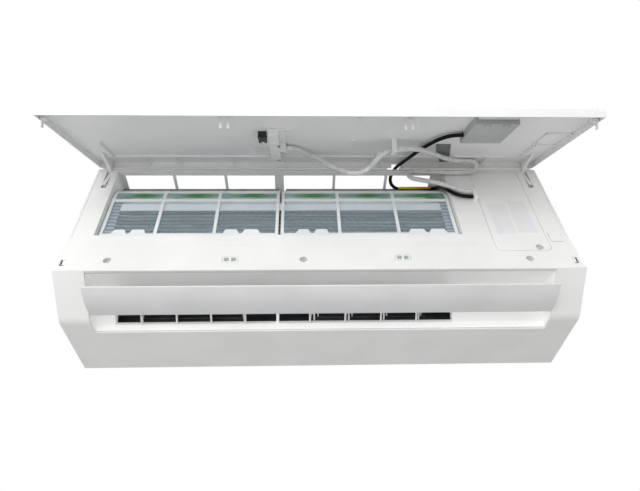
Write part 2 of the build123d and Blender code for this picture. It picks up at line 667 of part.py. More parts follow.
with BuildPart() as bearing_bush:
    cross_rod((duct_left - 6, duct_left + 1), fan_u, fan_v, bush_radius)
    cross_rod((duct_left - 7, duct_left + 2), fan_u, fan_v, fan_shaft_radius + running_gap,
              Mode.SUBTRACT)
save(bearing_bush, "bearing_bush")

with BuildPart() as fan_motor:
    cross_rod((motor_left, motor_right), fan_u, fan_v, motor_radius)
    fillet(fan_motor.edges().filter_by(GeomType.CIRCLE), radius=6)
    cross_rod((motor_left - 3, motor_left), fan_u, fan_v, 14)
    cross_rod((motor_left - 4, motor_left + 13), fan_u, fan_v, fan_shaft_radius + running_gap,
              Mode.SUBTRACT)
save(fan_motor, "fan_motor")

band_sheet = 3.0
with BuildPart() as motor_bracket:
    cross_rod((motor_left + 18, motor_left + 42), fan_u, fan_v, motor_radius + band_sheet)
    block((motor_left + 35, motor_left + 42), (back_front, fan_u - 30), (fan_v - 6, fan_v + 6))
    cross_rod((motor_left + 17, motor_left + 43), fan_u, fan_v, motor_radius, Mode.SUBTRACT)
save(motor_bracket, "motor_bracket")

# ---------------------------------------------------------------- controls
box_left, box_right = half - 110, half - 31
box_back, box_front = 110.0, 196.0
box_low, box_high = 132.0, body_height - 11
box_wall = 2.0
lower_plate_u = 160.0
button_travel = 2.0
cap_stand = 0.8            # button cap in front of the face
cap_back_u = face_u - 7.6

with BuildPart() as control_box:
    block((box_left, box_right), (box_back, box_front), (box_low, box_high))
    block((box_left + box_wall, box_right - box_wall), (box_back + box_wall, box_front + 1),
          (box_low + box_wall, box_high - box_wall), Mode.SUBTRACT)
    block((box_left, box_right), (lower_plate_u, lower_plate_u + 3), (60, box_low + 1))
    for x_screw, v_screw in box_screws:
        depth_rod(x_screw, (lower_plate_u + 2, pan_front), v_screw, boss_radius)
        depth_rod(x_screw, (pan_front - 13, pan_front + 1), v_screw, screw_radius + running_gap,
                  Mode.SUBTRACT)
    block((box_right - 1, box_right + 20), (lower_plate_u - 2, lower_plate_u + 3),
          (button_at[1] - 8, button_at[1] + 8))
    block((box_right - box_wall, box_right), (lower_plate_u - 2, lower_plate_u + 3),
          (button_at[1] - 8, box_low + 2))
save(control_box, "control_box")

with BuildPart() as control_board:
    block((box_left + 6, box_left + 7.6), (box_back + 8, box_front - 10),
          (box_low + 10, box_high - 10))
    block((box_left + 7.6, box_left + 30), (box_back + 14, box_back + 44),
          (box_low + 16, box_low + 46))
    for v_part in (box_low + 70, box_low + 100):
        cross_rod((box_left + 7.6, box_left + 28), box_back + 40, v_part, 9)
save(control_board, "control_board")

with BuildPart() as terminal_block:
    block((box_left + 3, box_right - 9), (lower_plate_u + 3, lower_plate_u + 23), (101, 120))
    for x_pole in (box_left + 13, box_left + 27, box_left + 41, box_left + 55):
        block((x_pole - 5, x_pole + 5), (lower_plate_u + 13, lower_plate_u + 24), (103, 118),
              Mode.SUBTRACT)
save(terminal_block, "terminal_block")

with BuildPart() as button_switch:
    block((button_at[0] - 6, button_at[0] + 6), (lower_plate_u + 3, cap_back_u - 5),
          (button_at[1] - 6, button_at[1] + 6))
    depth_rod(button_at[0], (cap_back_u - 5, cap_back_u - button_travel - 0.3), button_at[1], 2)
save(button_switch, "button_switch")

with BuildPart() as power_button:
    with BuildSketch(front(cap_back_u)):
        with Locations(button_at):
            RectangleRounded(2 * button_half, 2 * button_half, 2.5)
    extrude(amount=face_u + cap_stand - cap_back_u)
    fillet(power_button.faces().sort_by(Axis.Y)[0].edges(), radius=0.5)
save(power_button, "power_button")

cover_sheet = 2.0
with BuildPart() as control_cover:
    plate([(face_u - cover_sheet, cover_high), (face_u, cover_high), (face_u, step_v + 0.5),
           (band_u, step_v - 1), (band_u, cover_low), (band_u - cover_sheet, cover_low),
           (band_u - cover_sheet, step_v - 1.8), (face_u - cover_sheet, step_v - 0.3)],
          (cover_left, cover_right))
    fillet(control_cover.edges().filter_by(Axis.Y).group_by(Axis.Z)[0], radius=cover_corner)
    x_screw, v_screw = box_screws[1]
    depth_rod(x_screw, (pan_front + 2, band_u - 1), v_screw, 7.2)
    depth_rod(x_screw, (pan_front + 5, band_u + 1), v_screw, 6, Mode.SUBTRACT)
    depth_rod(x_screw, (pan_front, band_u), v_screw, screw_radius + 0.2, Mode.SUBTRACT)
save(control_cover, "control_cover")

# ---------------------------------------------------------------- front panel, swung open
open_run, open_rise = cos(radians(panel_open)), sin(radians(panel_open))
panel_outer = hinge_back            # the hinge axis to the panel's outer face
panel_inner = panel_outer - panel_skin
rim_inner = panel_outer - panel_rim
rim = 2.0
panel_top = -0.8
panel_end = nose_height + panel_foot - pivot_v
leaf_frame = Plane(origin=at(0, pivot_u, pivot_v), x_dir=(1, 0, 0),
                   z_dir=(0, open_rise, open_run)).location


def leaf(x, deep, along):
    """row position on the open panel: deep runs from the hinge axis towards its outer face,
    along runs towards its hinge edge"""
    return at(x, pivot_u + deep * open_run - along * open_rise,
              pivot_v + deep * open_rise + along * open_run)


def leaf_side(x):
    """plane across the open panel at x: sketches on it are in (deep, along)"""
    return Plane(origin=leaf(x, 0, 0), x_dir=(0, -open_run, open_rise), z_dir=(-1, 0, 0))


def leaf_block(xs, deep, along, mode=Mode.ADD):
    """box square to the open panel"""
    with Locations(leaf_frame * Location((sum(xs) / 2, -sum(deep) / 2, sum(along) / 2))):
        Box(abs(xs[1] - xs[0]), abs(deep[1] - deep[0]), abs(along[1] - along[0]), mode=mode)


rib_along = -41.0
rib_sheet, rib_rise = 1.6, 3.5
cross_rib_xs = (-320.0, -263.0, -163.0, -64.0, 25.0)
hook_tip = 4.0
hook_at = (pivot_v - sum(corner_v) / 2, 8.0)  # corner hooks below the hinge, and their width
notch_x = (137.0, 154.0)   # way for the cable through the panel's upper rim

with BuildPart() as front_panel:
    leaf_block((-half, half), (rim_inner, panel_outer), (panel_end, panel_top))
    leaf_block((-half + rim, half - rim), (rim_inner - 1, panel_inner),
               (panel_end + rim, panel_top - rim), Mode.SUBTRACT)
    outer_edges = front_panel.edges().filter_by(GeomType.LINE).sort_by_distance(
        leaf(0, panel_outer, panel_end))[:1]
    fillet(outer_edges, radius=1.8)
    leaf_block((hinge_xs[0] + arm_width / 2 + 1, hinge_xs[1] - arm_width / 2 - 1),
               (panel_inner - rib_rise, panel_inner + 0.5), (rib_along - rib_sheet, rib_along))
    for x_rib in cross_rib_xs:
        leaf_block((x_rib - rib_sheet / 2, x_rib + rib_sheet / 2),
                   (panel_inner - rib_rise, panel_inner + 0.5), (rib_along, panel_top - 1))
    leaf_block(notch_x, (rim_inner - 1, panel_inner - 4), (panel_top - rim - 0.5, panel_top + 1),
               Mode.SUBTRACT)
    for turn in (-1, 1):
        leaf_block([turn * x for x in corner_x], (rim_inner - 1.2, panel_inner + 0.5),
                   (-hook_at[0] - hook_at[1] / 2, -hook_at[0] + hook_at[1] / 2))
        leaf_block((turn * (half - 6), turn * (half - 4.6)), (hook_tip, rim_inner - 1),
                   (-hook_at[0] - 3, -hook_at[0] + 3))
    for x_catch, v_catch in catch_at:
        for x_hook in (x_catch - 5.5, x_catch + 5.5):
            along = v_catch - pivot_v
            leaf_block((x_hook - 2, x_hook + 2), (5, panel_inner + 0.5),
                       (along - 1.2, along + 1.2))
save(front_panel, "front_panel")

hinge_boss = 4.3
with BuildPart() as hinge_arms:
    for x_hinge in hinge_xs:
        plate([(panel_inner, -62), (panel_inner, -8), (2.5, 3.4), (-3.4, 2.4), (-31, -29),
               (-26, -37), (3, -8), (14, -22)],
              (x_hinge - arm_width / 2, x_hinge + arm_width / 2), plane=leaf_side)
        cross_rod((x_hinge - arm_width / 2, x_hinge + arm_width / 2), pivot_u, pivot_v,
                  hinge_boss)
        cross_rod((x_hinge - arm_width, x_hinge + arm_width), pivot_u, pivot_v,
                  hinge_pin + running_gap, Mode.SUBTRACT)
save(hinge_arms, "hinge_arms")

wifi_x = (227.0, 294.0)
wifi_along = (-221.0, -140.0)
wifi_face, wifi_split = 14.8, 18.0
with BuildPart() as wifi_box:
    leaf_block(wifi_x, (wifi_split, panel_inner), wifi_along)
    leaf_block((wifi_x[0] + 1.6, wifi_x[1] - 1.6), (wifi_split - 1, panel_inner - 1.6),
               (wifi_along[0] + 1.6, wifi_along[1] - 1.6), Mode.SUBTRACT)
save(wifi_box, "wifi_box")

with BuildPart() as wifi_box_cover:
    leaf_block(wifi_x, (wifi_face, wifi_split), wifi_along)
    for x_latch in (247.0, 276.0):
        leaf_block((x_latch - 5, x_latch + 5), (wifi_face - 1, wifi_face + 1.4),
                   (wifi_along[0] + 2, wifi_along[0] + 3.6), Mode.SUBTRACT)
        leaf_block((x_latch - 5, x_latch - 3.8), (wifi_face - 1, wifi_face + 1.4),
                   (wifi_along[0] + 2, wifi_along[0] + 11), Mode.SUBTRACT)
        leaf_block((x_latch + 3.8, x_latch + 5), (wifi_face - 1, wifi_face + 1.4),
                   (wifi_along[0] + 2, wifi_along[0] + 11), Mode.SUBTRACT)
save(wifi_box_cover, "wifi_box_cover")

display_x = (-88.0, -60.0)
display_along = (-172.0, -58.0 - 6.0)
display_face = 16.0
with BuildPart() as display_housing:
    leaf_block(display_x, (display_face, panel_inner), display_along)
    leaf_block((display_x[0] + 1.5, display_x[1] - 1.5), (display_face + 1.5, panel_inner + 1),
               (display_along[0] + 1.5, display_along[1] - 1.5), Mode.SUBTRACT)
save(display_housing, "display_housing")

connector_x = (-103.0, -90.0)
connector_along = (-160.0, -135.0)
with BuildPart() as display_connector:
    leaf_block(connector_x, (display_face, panel_inner), connector_along)
    leaf_block((-99, -94), (display_face - 1, display_face + 2), (-150, -134), Mode.SUBTRACT)
save(display_connector, "display_connector")

sleeve_radius, cable_radius, lead_radius = 4.25, 3.25, 1.25
clip_x = (117.0, 125.0)
clip_along = (-128.0, -100.0)
clip_deep = 11.0
with BuildPart() as cable_clips:
    leaf_block(clip_x, (clip_deep - 7, panel_inner), (clip_along[0], clip_along[0] + 3))
    leaf_block(clip_x, (clip_deep - 7, clip_deep - 5), (clip_along[0], clip_along[0] + 24))
    leaf_block((49, 56), (panel_inner - 7, panel_inner), (-227, -223))
save(cable_clips, "cable_clips")


# ---------------------------------------------------------------- cables
def cord(points, radius):
    """round cord through its points, each corner an arc as large as its runs allow"""
    spots = [Vector(*point) for point in points]
    radii = []
    for before, corner, after in zip(spots, spots[1:], spots[2:]):
        into, away = corner - before, after - corner
        turn = into.get_angle(away)
        radii.append(0.45 * min(into.length, away.length) / tan(radians(turn / 2)))
    with BuildLine() as route:
        FilletPolyline(*spots, radius=radii)
    length = sum(edge.length for edge in route.edges())
    print("radii in diameters", [round(r / radius / 2, 1) for r in radii],
          "length", round(length))
    with BuildSketch(Plane(origin=route.line @ 0, z_dir=route.line % 0)) as section:
        Circle(radius)
    tube = sweep(section.sketch, path=route.line)
    print("volume to section times length", round(tube.volume / length / pi / radius ** 2, 3))


entry_x = grommet_x[0]
with BuildPart() as wifi_cable:
    cord([leaf(wifi_x[0], 21.4, -160), leaf(211, 21.4, -160), leaf(192, 21, -143),
          leaf(178, 20.5, -111), leaf(168, 20, -78), leaf(156, 18.5, -36),
          leaf(146.5, 17.5, -6), at(138.5, 188, 305.3), at(136, 177, 300.5),
          at(139.5, 166.5, 293.5), at(154, 160, 288.5), at(178, 158, 288),
          at(204, 159, 288.6), at(220.5, 164, 288), at(228.6, 178, 275.5),
          at(229.7, 193, 253.5), at(229.6, 204.6, 234), at(240, 207.2, 220.5),
          at(256, 206.5, 214), at(entry_x, 206.5, 214)], cable_radius)
save(wifi_cable, "wifi_cable")

with BuildPart() as display_cable:
    cord([leaf(display_x[1], 20, -100), leaf(-46, 20, -100), leaf(-30, 19, -82),
          leaf(-2, 16, -56), at(25, 248, 240.5), at(49, 257, 215), at(67, 264.5, 206.5),
          at(84, 272.5, 214.5), leaf(99, 3.5, -110), leaf(113, clip_deep, -116),
          leaf(128, 11.3, -119.5), leaf(146, 11.5, -123.5), leaf(167, 12, -117.5),
          leaf(192, 12.5, -97), leaf(217, 14.5, -69), leaf(242, 18.5, -41),
          at(267, 225.5, 293.7), at(291, 226.5, 293), at(291.5, 208, 285),
          at(268, 207.2, 282.3), at(230, 207, 282.5), at(192, 207.5, 285),
          at(163.5, 208, 283.5), at(164.5, 208.3, 264.5), at(187, 208.5, 257.5),
          at(213, 208.5, 250.5), at(236, 208, 240), at(253, 207.8, 225.5),
          at(entry_x, 207.8, 225.5)], sleeve_radius)
save(display_cable, "display_cable")

with BuildPart() as display_lead:
    cord([leaf(-96.5, 20.5, connector_along[1]), leaf(-96.5, 20.5, -126),
          leaf(-103, 20.3, -112), leaf(-114, 20, -100), leaf(-113, 20, -88),
          leaf(-101, 20, -82), leaf(display_x[0], 20, -82)], lead_radius)
save(display_lead, "display_lead")

# ---------------------------------------------------------------- louver and its drive
louver_tail, louver_nose = (144.1, 5.8), (202.9, 13.6)
louver_sag = 4.0
chord = Vector(louver_nose[0] - louver_tail[0], louver_nose[1] - louver_tail[1])
below = Vector(chord.Y, -chord.X).normalized()
ear = 2.5


def louver_arc(lift):
    """arc along the louver, lifted off its outer face"""
    raised = Vector(*louver_tail) + chord / 2 + below * (louver_sag - lift)
    start = Vector(*louver_tail) - below * lift
    end = Vector(*louver_nose) - below * lift
    return ThreePointArc(start, raised, end)


with BuildPart() as louver:
    with BuildSketch(side(louver_half)):
        with BuildLine():
            outer_face = louver_arc(0)
            inner_face = louver_arc(louver_thickness)
            Line(outer_face @ 0, inner_face @ 0)
            Line(outer_face @ 1, inner_face @ 1)
        make_face()
    extrude(amount=2 * louver_half)
    fillet(louver.edges().filter_by(Axis.X), radius=1.0)
    for turn in (-1, 1):
        plate([(145, 5.5), (172, 6.2), (170, 8), (153.5, 20), (143.5, 20)],
              (turn * louver_half, turn * (louver_half - ear)))
        cross_rod((turn * (louver_half - ear), turn * (mouth_half + 4)), *louver_pivot,
                  louver_pin)
save(louver, "louver")

motor_shaft = 2.5
can_radius = 13.0
with BuildPart() as louver_coupler:
    cross_rod((mouth_half + 4, mouth_half + 11), *louver_pivot, louver_pin + 0.7)
    cross_rod((mouth_half + 6, mouth_half + 12), *louver_pivot, motor_shaft + running_gap,
              Mode.SUBTRACT)
save(louver_coupler, "louver_coupler")

with BuildPart() as louver_motor:
    cross_rod((mouth_half + 6.5, mouth_half + 14), *louver_pivot, motor_shaft)
    cross_rod((mouth_half + 11.5, mouth_half + 13), *louver_pivot, 4)
    cross_rod((mouth_half + 13, mouth_half + 32), louver_pivot[0] - 5, louver_pivot[1] + 9,
              can_radius)
save(louver_motor, "louver_motor")

# ---------------------------------------------------------------- vanes, links, swing motors
vane_clear = 2.4           # vane's foot above the duct floor
peg_back = 16.0            # link peg, behind the vane's pivot
peg_radius = 1.4
link_slack = 0.5
link_bar = (0.6, 2.8)      # the link bar's underside and top, above the floor
vane_top = roof_height - 2.1
vane_outline = [(vane_clear, vane_lead), (vane_clear, vane_lead - 2.8), (14, 14),
                (7, -vane_tail), (vane_top, -vane_tail), (vane_top, 7), (vane_top + 5, 15),
                (vane_top + 6.5, vane_lead)]
for number in range(len(vane_fronts)):
    swing = radians(vane_turn(number))
    downstream = Vector(0, floor_back[0], -floor_back[1])
    vane_normal = Vector(cos(swing), 0, 0) - downstream * sin(swing)
    along_vane = Vector(sin(swing), 0, 0) + downstream * cos(swing)
    driver = number in (0, 4)
    with BuildPart() as vane:
        # on this plane a point is (height above the floor, distance towards the outlet)
        with BuildSketch(Plane(origin=vane_origin(number), x_dir=floor_normal,
                               z_dir=Vector(*floor_normal).cross(along_vane))):
            Polygon(*vane_outline, align=None)
        extrude(amount=vane_thickness / 2, both=True)
        pin_low = -7.0 if driver else -3.4
        with Locations(Plane(origin=vane_origin(number, (pin_low + 16) / 2),
                             z_dir=floor_normal)):
            Cylinder(vane_pin, 16 - pin_low)
        peg = Vector(*vane_origin(number, (link_bar[0] + 9) / 2)) - along_vane * peg_back
        with Locations(Plane(origin=peg, z_dir=floor_normal)):
            Cylinder(peg_radius, 9 - link_bar[0])
    save(vane, f"vane_{number + 1}")

for link_name, group in (("vane_link_left", range(4)), ("vane_link_right", range(4, 8))):
    swing = radians(vane_turn(group[0]))
    x_first = vane_x(group[0]) - peg_back * sin(swing)
    x_last = vane_x(group[3]) - peg_back * sin(swing)
    with BuildPart() as vane_link:
        centre = at((x_first + x_last) / 2,
                    *duct(sum(link_bar) / 2, vane_pivot_back + peg_back - 1.5))
        with Locations(Plane(origin=centre, x_dir=(1, 0, 0), z_dir=floor_normal)):
            Box(x_last - x_first + 14, 12, link_bar[1] - link_bar[0])
        for number in group:
            slot = at(vane_x(number) - peg_back * sin(swing),
                      *duct(sum(link_bar) / 2, vane_pivot_back + peg_back - 1.5))
            with Locations(Plane(origin=slot, x_dir=(1, 0, 0), z_dir=floor_normal)):
                Box(2 * (peg_radius + link_slack), 7.6, 6, mode=Mode.SUBTRACT)
    save(vane_link, link_name)

with BuildPart() as swing_motors:
    for number in (0, 4):
        with Locations(Plane(origin=vane_origin(number, -10.5), z_dir=floor_normal)):
            Cylinder(10, 13)
        with Locations(Plane(origin=vane_origin(number, -6), z_dir=floor_normal)):
            Cylinder(vane_pin + running_gap, 6, mode=Mode.SUBTRACT)
save(swing_motors, "swing_motors")

# ---------------------------------------------------------------- air filters
filter_low = 134.0
filter_bend_v = body_height - 7 - filter_radius
filter_end = 108.0         # how far the filter's bend goes round, in degrees
bend_centre = (filter_u - filter_radius, filter_bend_v)
cross_v = filter_bend_v - 2
cross_angles = (42.0, 48.0)
mesh_sheet = 0.4
panes_up = ((filter_low + 6, cross_v - filter_bar / 2), (1.0, cross_angles[0]),
            (cross_angles[1], filter_end - 6))
tab_rise = 14.0


def sector(near, far, start, end):
    """part of a ring round the filters' bend, in the current sketch"""
    with BuildLine() as edge:
        inside = CenterArc(bend_centre, near, start, end - start)
        outside = CenterArc(bend_centre, far, start, end - start)
        Line(inside @ 0, outside @ 0)
        Line(inside @ 1, outside @ 1)
    make_face(edge.line.edges())


filters = (("left", (opening_left + 1.5, filter_split_left), filter_rib_xs[0],
            ((-353, -324), (-323, -292), (-168, -137.5), (-136, -102))),
           ("right", (filter_split_right, opening_right - 1.5), filter_rib_xs[1],
            ((-45, -17), (-15, 14), (146, 180), (181, 215))))

for hand, (x_low, x_high), ribs, tabs in filters:
    stops = [x_low + filter_bar / 2, *ribs, x_high - filter_bar / 2]
    panes = [(a + filter_bar / 2, b - filter_bar / 2) for a, b in zip(stops, stops[1:])]
    with BuildPart() as filter_frame:
        with BuildSketch(side(x_high)):
            with Locations((filter_u - filter_thickness / 2, (filter_low + filter_bend_v) / 2)):
                Rectangle(filter_thickness, filter_bend_v - filter_low)
            sector(filter_radius - filter_thickness, filter_radius, 0, filter_end)
        extrude(amount=x_high - x_low)
        for pane in panes:
            block(pane, (filter_u - 9, filter_u + 9), panes_up[0], Mode.SUBTRACT)
            for start, end in panes_up[1:]:
                with BuildSketch(side(pane[1])):
                    sector(filter_radius - 9, filter_radius + 9, start, end)
                extrude(amount=pane[1] - pane[0], mode=Mode.SUBTRACT)
        for x_start, x_stop in tabs:
            with BuildSketch(front(filter_u - filter_thickness + 0.4)):
                Polygon((x_start, filter_low + 1), (x_stop, filter_low + 1),
                        (x_stop - 6, filter_low + tab_rise), (x_start + 6, filter_low + tab_rise),
                        align=None)
            extrude(amount=filter_thickness + 0.6)
    save(filter_frame, f"filter_frame_{hand}")

    mesh_u = filter_u - filter_thickness / 2
    with BuildPart() as filter_mesh:
        for pane in panes:
            block(pane, (mesh_u - mesh_sheet / 2, mesh_u + mesh_sheet / 2), panes_up[0])
            for start, end in panes_up[1:]:
                with BuildSketch(side(pane[1])):
                    sector(filter_radius - (filter_thickness + mesh_sheet) / 2,
                           filter_radius - (filter_thickness - mesh_sheet) / 2, start, end)
                extrude(amount=pane[1] - pane[0])
        for x_start, x_stop in tabs:
            block((x_start, x_stop), (filter_u - 9, filter_u + 9),
                  (filter_low, filter_low + tab_rise), Mode.SUBTRACT)
    save(filter_mesh, f"filter_mesh_{hand}")
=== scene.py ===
import math

import bpy
import numpy as np
from mathutils import Matrix, Vector


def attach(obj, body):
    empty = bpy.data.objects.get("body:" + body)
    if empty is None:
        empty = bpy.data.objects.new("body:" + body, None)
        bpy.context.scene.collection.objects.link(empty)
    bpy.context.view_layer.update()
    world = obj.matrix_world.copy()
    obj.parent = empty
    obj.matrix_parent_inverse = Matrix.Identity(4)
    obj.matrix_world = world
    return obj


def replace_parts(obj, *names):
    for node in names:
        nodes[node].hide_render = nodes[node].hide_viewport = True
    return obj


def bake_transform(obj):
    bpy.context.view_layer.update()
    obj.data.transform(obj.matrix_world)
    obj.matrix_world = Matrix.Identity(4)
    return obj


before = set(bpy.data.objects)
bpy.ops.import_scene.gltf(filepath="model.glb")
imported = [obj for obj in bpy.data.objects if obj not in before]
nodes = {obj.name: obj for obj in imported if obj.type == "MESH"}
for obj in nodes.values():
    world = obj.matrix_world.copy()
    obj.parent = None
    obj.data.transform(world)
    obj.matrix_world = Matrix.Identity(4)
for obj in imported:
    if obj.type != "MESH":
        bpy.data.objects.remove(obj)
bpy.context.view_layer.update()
scene = bpy.context.scene
print("frame loaded:", len(nodes), "parts")

mm = 0.001
mountHeight = 170.0  # underside of the unit to the row's origin, mm
hingePlace = (188.5, 294.5)  # panel hinge in mm: out from the wall, above the underside
panelOpen = math.radians(54.7)  # from closed to the rest pose


def place(x, out, up):
    # unit coordinates in mm (across, out from the wall, above the underside) to the row frame
    x, out, up = np.broadcast_arrays(np.asarray(x, float), out, up)
    return np.stack([x, -out, up - mountHeight], -1) * mm


def leaf(x, deep, along):
    # the open panel's own directions in mm, from the hinge axis: deep towards its outer face and
    # along towards its hinge edge; out = hingeOut + deep cos(a) - along sin(a),
    # up = hingeUp + deep sin(a) + along cos(a)
    deep, along = np.asarray(deep, float), np.asarray(along, float)
    return place(x, hingePlace[0] + deep * math.cos(panelOpen) - along * math.sin(panelOpen),
                 hingePlace[1] + deep * math.sin(panelOpen) + along * math.cos(panelOpen))


camera = {"spot": (-33.3, 803.1, -485.6), "pitch": 44.14, "yaw": -2.74, "roll": -2.15,
          "focal": 29.25, "sensor": 36.0}


def addCamera(c):
    # looks along (0, cos p, sin p) turned by the yaw, then rolled about that line
    pitch, yaw, roll = (math.radians(c[k]) for k in ("pitch", "yaw", "roll"))
    turn = Matrix.Rotation(yaw, 3, "Z")
    ahead = turn @ Vector((0, math.cos(pitch), math.sin(pitch)))
    right = turn @ Vector((1, 0, 0))
    up = right.cross(ahead)
    rolledRight = right * math.cos(roll) + up * math.sin(roll)
    rolledUp = up * math.cos(roll) - right * math.sin(roll)
    data = bpy.data.cameras.new("camera")
    data.lens, data.sensor_width = c["focal"], c["sensor"]
    data.clip_start = 0.01
    seen = bpy.data.objects.new("camera", data)
    scene.collection.objects.link(seen)
    pose = Matrix((rolledRight, rolledUp, -ahead)).transposed().to_4x4()
    pose.translation = Vector(place(*c["spot"]))
    seen.matrix_world = pose
    scene.camera = seen


addCamera(camera)
scene.view_settings.view_transform = "Standard"

lamps = (  # name, place in metres, size in metres, watts
    ("keyLamp", (-0.5, -2.4, -0.45), 2.0, 32.0),
    ("sideLamp", (-2.4, -1.3, -0.3), 1.6, 9.0),
    ("fillLamp", (1.9, -1.9, 0.5), 1.6, 1.5),
)


def addLamps(rows):
    # disc lights that face the origin
    for name, spot, size, watts in rows:
        data = bpy.data.lights.new(name, "AREA")
        data.shape, data.size, data.energy = "DISK", size, watts
        lamp = bpy.data.objects.new(name, data)
        scene.collection.objects.link(lamp)
        lamp.location = spot
        lamp.rotation_euler = (-Vector(spot)).to_track_quat("-Z", "Y").to_euler()


addLamps(lamps)


def linear(code):
    # sRGB hex to linear: c / 12.92 below 0.04045, else ((c + 0.055) / 1.055) ** 2.4
    parts = [int(code[i:i + 2], 16) / 255 for i in (1, 3, 5)]
    return tuple(p / 12.92 if p <= 0.04045 else ((p + 0.055) / 1.055) ** 2.4
                 for p in parts) + (1.0,)


def addNode(tree, kind, links=None, **settings):
    # one shader node; links holds its inputs by name or number, as a socket or a value
    node = tree.nodes.new("ShaderNode" + kind)
    for name, value in settings.items():
        setattr(node, name, value)
    for name, value in (links or {}).items():
        if isinstance(value, bpy.types.NodeSocket):
            tree.links.new(value, node.inputs[name])
        else:
            node.inputs[name].default_value = value
    return node


world = {"ambient": 0.57, "white": 1.0, "ambientTint": "#FFFFFF"}


def addWorld(w):
    # white to the camera and in reflections, a plain grey-white level as light
    made = bpy.data.worlds.new("studio")
    made.use_nodes = True
    tree = made.node_tree
    tree.nodes.clear()
    path = addNode(tree, "LightPath")
    seen = addNode(tree, "Math", {0: path.outputs["Is Camera Ray"],
                                  1: path.outputs["Is Transmission Ray"]}, operation="MAXIMUM")
    seen = addNode(tree, "Math", {0: seen.outputs[0], 1: path.outputs["Is Glossy Ray"]},
                   operation="MAXIMUM")
    level = addNode(tree, "MapRange", {"Value": seen.outputs[0], "To Min": w["ambient"],
                                       "To Max": w["white"]})
    sky = addNode(tree, "Background", {"Color": linear(w["ambientTint"]),
                                       "Strength": level.outputs[0]})
    end = addNode(tree, "OutputWorld")
    tree.links.new(sky.outputs[0], end.inputs[0])
    scene.world = made


addWorld(world)


def finish(name, colour, rough, **shader):
    # a Principled material; returns it with its tree, shader node and object coordinates
    made = bpy.data.materials.new(name)
    made.use_nodes = True
    tree = made.node_tree
    skin = tree.nodes["Principled BSDF"]
    skin.inputs["Base Color"].default_value = linear(colour)
    skin.inputs["Roughness"].default_value = rough
    for key, value in shader.items():
        skin.inputs[key.replace("_", " ")].default_value = value
    made.diffuse_color = linear(colour)
    return made, tree, skin, addNode(tree, "TexCoord").outputs["Object"]


def perMetre(size):
    # pattern scale whose features are about this many mm across
    return 1.0 / (size * mm)


def grain(tree, skin, where, size, height, strength=0.3, edge=0.0):
    # fine moulded or cast grain as bump; edge rounds sharp corners by that many mm
    noise = addNode(tree, "TexNoise", {"Vector": where, "Scale": perMetre(size), "Detail": 3.0})
    bump = addNode(tree, "Bump", {"Height": noise.outputs[0], "Distance": height * mm,
                                  "Strength": strength})
    if edge:
        soft = addNode(tree, "Bevel", {"Radius": edge * mm}, samples=4)
        tree.links.new(soft.outputs[0], bump.inputs["Normal"])
    tree.links.new(bump.outputs[0], skin.inputs["Normal"])
    return noise


def tinted(tree, skin, where, size, low, high, spread=(0.35, 0.65), stretch=(1, 1, 1)):
    # colour drifts between two tones over patches of this many mm
    mapped = addNode(tree, "Mapping", {"Vector": where, "Scale": stretch})
    patch = addNode(tree, "TexNoise", {"Vector": mapped.outputs[0], "Scale": perMetre(size),
                                       "Detail": 2.0})
    ramp = addNode(tree, "ValToRGB", {"Fac": patch.outputs[0]})
    ramp.color_ramp.elements[0].position, ramp.color_ramp.elements[1].position = spread
    ramp.color_ramp.elements[0].color = linear(low)
    ramp.color_ramp.elements[1].color = linear(high)
    tree.links.new(ramp.outputs[0], skin.inputs["Base Color"])


def whiteAbs(name, low, high, rough, edge, glow=0.0):
    # moulded ABS, satin: near-white with a faint drift of tone, orange-peel grain and soft
    # corners, which catch the light as a thin bright line. glow is painted light: an even
    # self-glow that lifts the part's shaded faces
    made, tree, skin, where = finish(name, high, rough, IOR=1.52)
    tinted(tree, skin, where, size=90, low=low, high=high)
    grain(tree, skin, where, size=0.9, height=0.05, strength=0.22, edge=edge)
    skin.inputs["Emission Color"].default_value = linear("#FFFFFF")
    skin.inputs["Emission Strength"].default_value = glow
    return made


def darkPlastic(name, low, high, rough):
    # moulded polystyrene, nylon or rubber: dark, with a cloudy flow pattern and a dull sheen
    made, tree, skin, where = finish(name, high, rough, IOR=1.55)
    tinted(tree, skin, where, size=25, low=low, high=high)
    grain(tree, skin, where, size=0.6, height=0.04, edge=0.3)
    return made


def zincSheet():
    # hot-dip galvanised steel: crystals of slightly different grey, 6 mm across, half dull
    made, tree, skin, where = finish("galvanisedSheet", "#A9AEB1", 0.42, Metallic=0.9)
    cells = addNode(tree, "TexVoronoi", {"Vector": where, "Scale": perMetre(6)})
    tone = addNode(tree, "ValToRGB", {"Fac": cells.outputs["Color"]})
    tone.color_ramp.elements[0].color = linear("#8F9599")
    tone.color_ramp.elements[1].color = linear("#BFC4C7")
    tree.links.new(tone.outputs[0], skin.inputs["Base Color"])
    rough = addNode(tree, "MapRange", {"Value": cells.outputs["Distance"], "To Min": 0.34,
                                       "To Max": 0.52, "From Max": 0.8})
    tree.links.new(rough.outputs[0], skin.inputs["Roughness"])
    grain(tree, skin, where, size=1.5, height=0.03, strength=0.25, edge=0.25)
    return made


def drawnMetal(name, low, high, rough, size, metallic=1.0):
    # drawn or machined metal: streaks along x, ten times as long as wide, and uneven gloss
    made, tree, skin, where = finish(name, high, rough, Metallic=metallic)
    tinted(tree, skin, where, size, low, high, spread=(0.3, 0.7), stretch=(0.1, 1, 1))
    noise = grain(tree, skin, where, size / 3, height=0.02, edge=0.15)
    uneven = addNode(tree, "MapRange", {"Value": noise.outputs[0], "To Min": rough - 0.06,
                                        "To Max": rough + 0.1})
    tree.links.new(uneven.outputs[0], skin.inputs["Roughness"])
    return made


coilMiddle, coilHalf = -0.068, 0.286  # the finned length along x, in metres


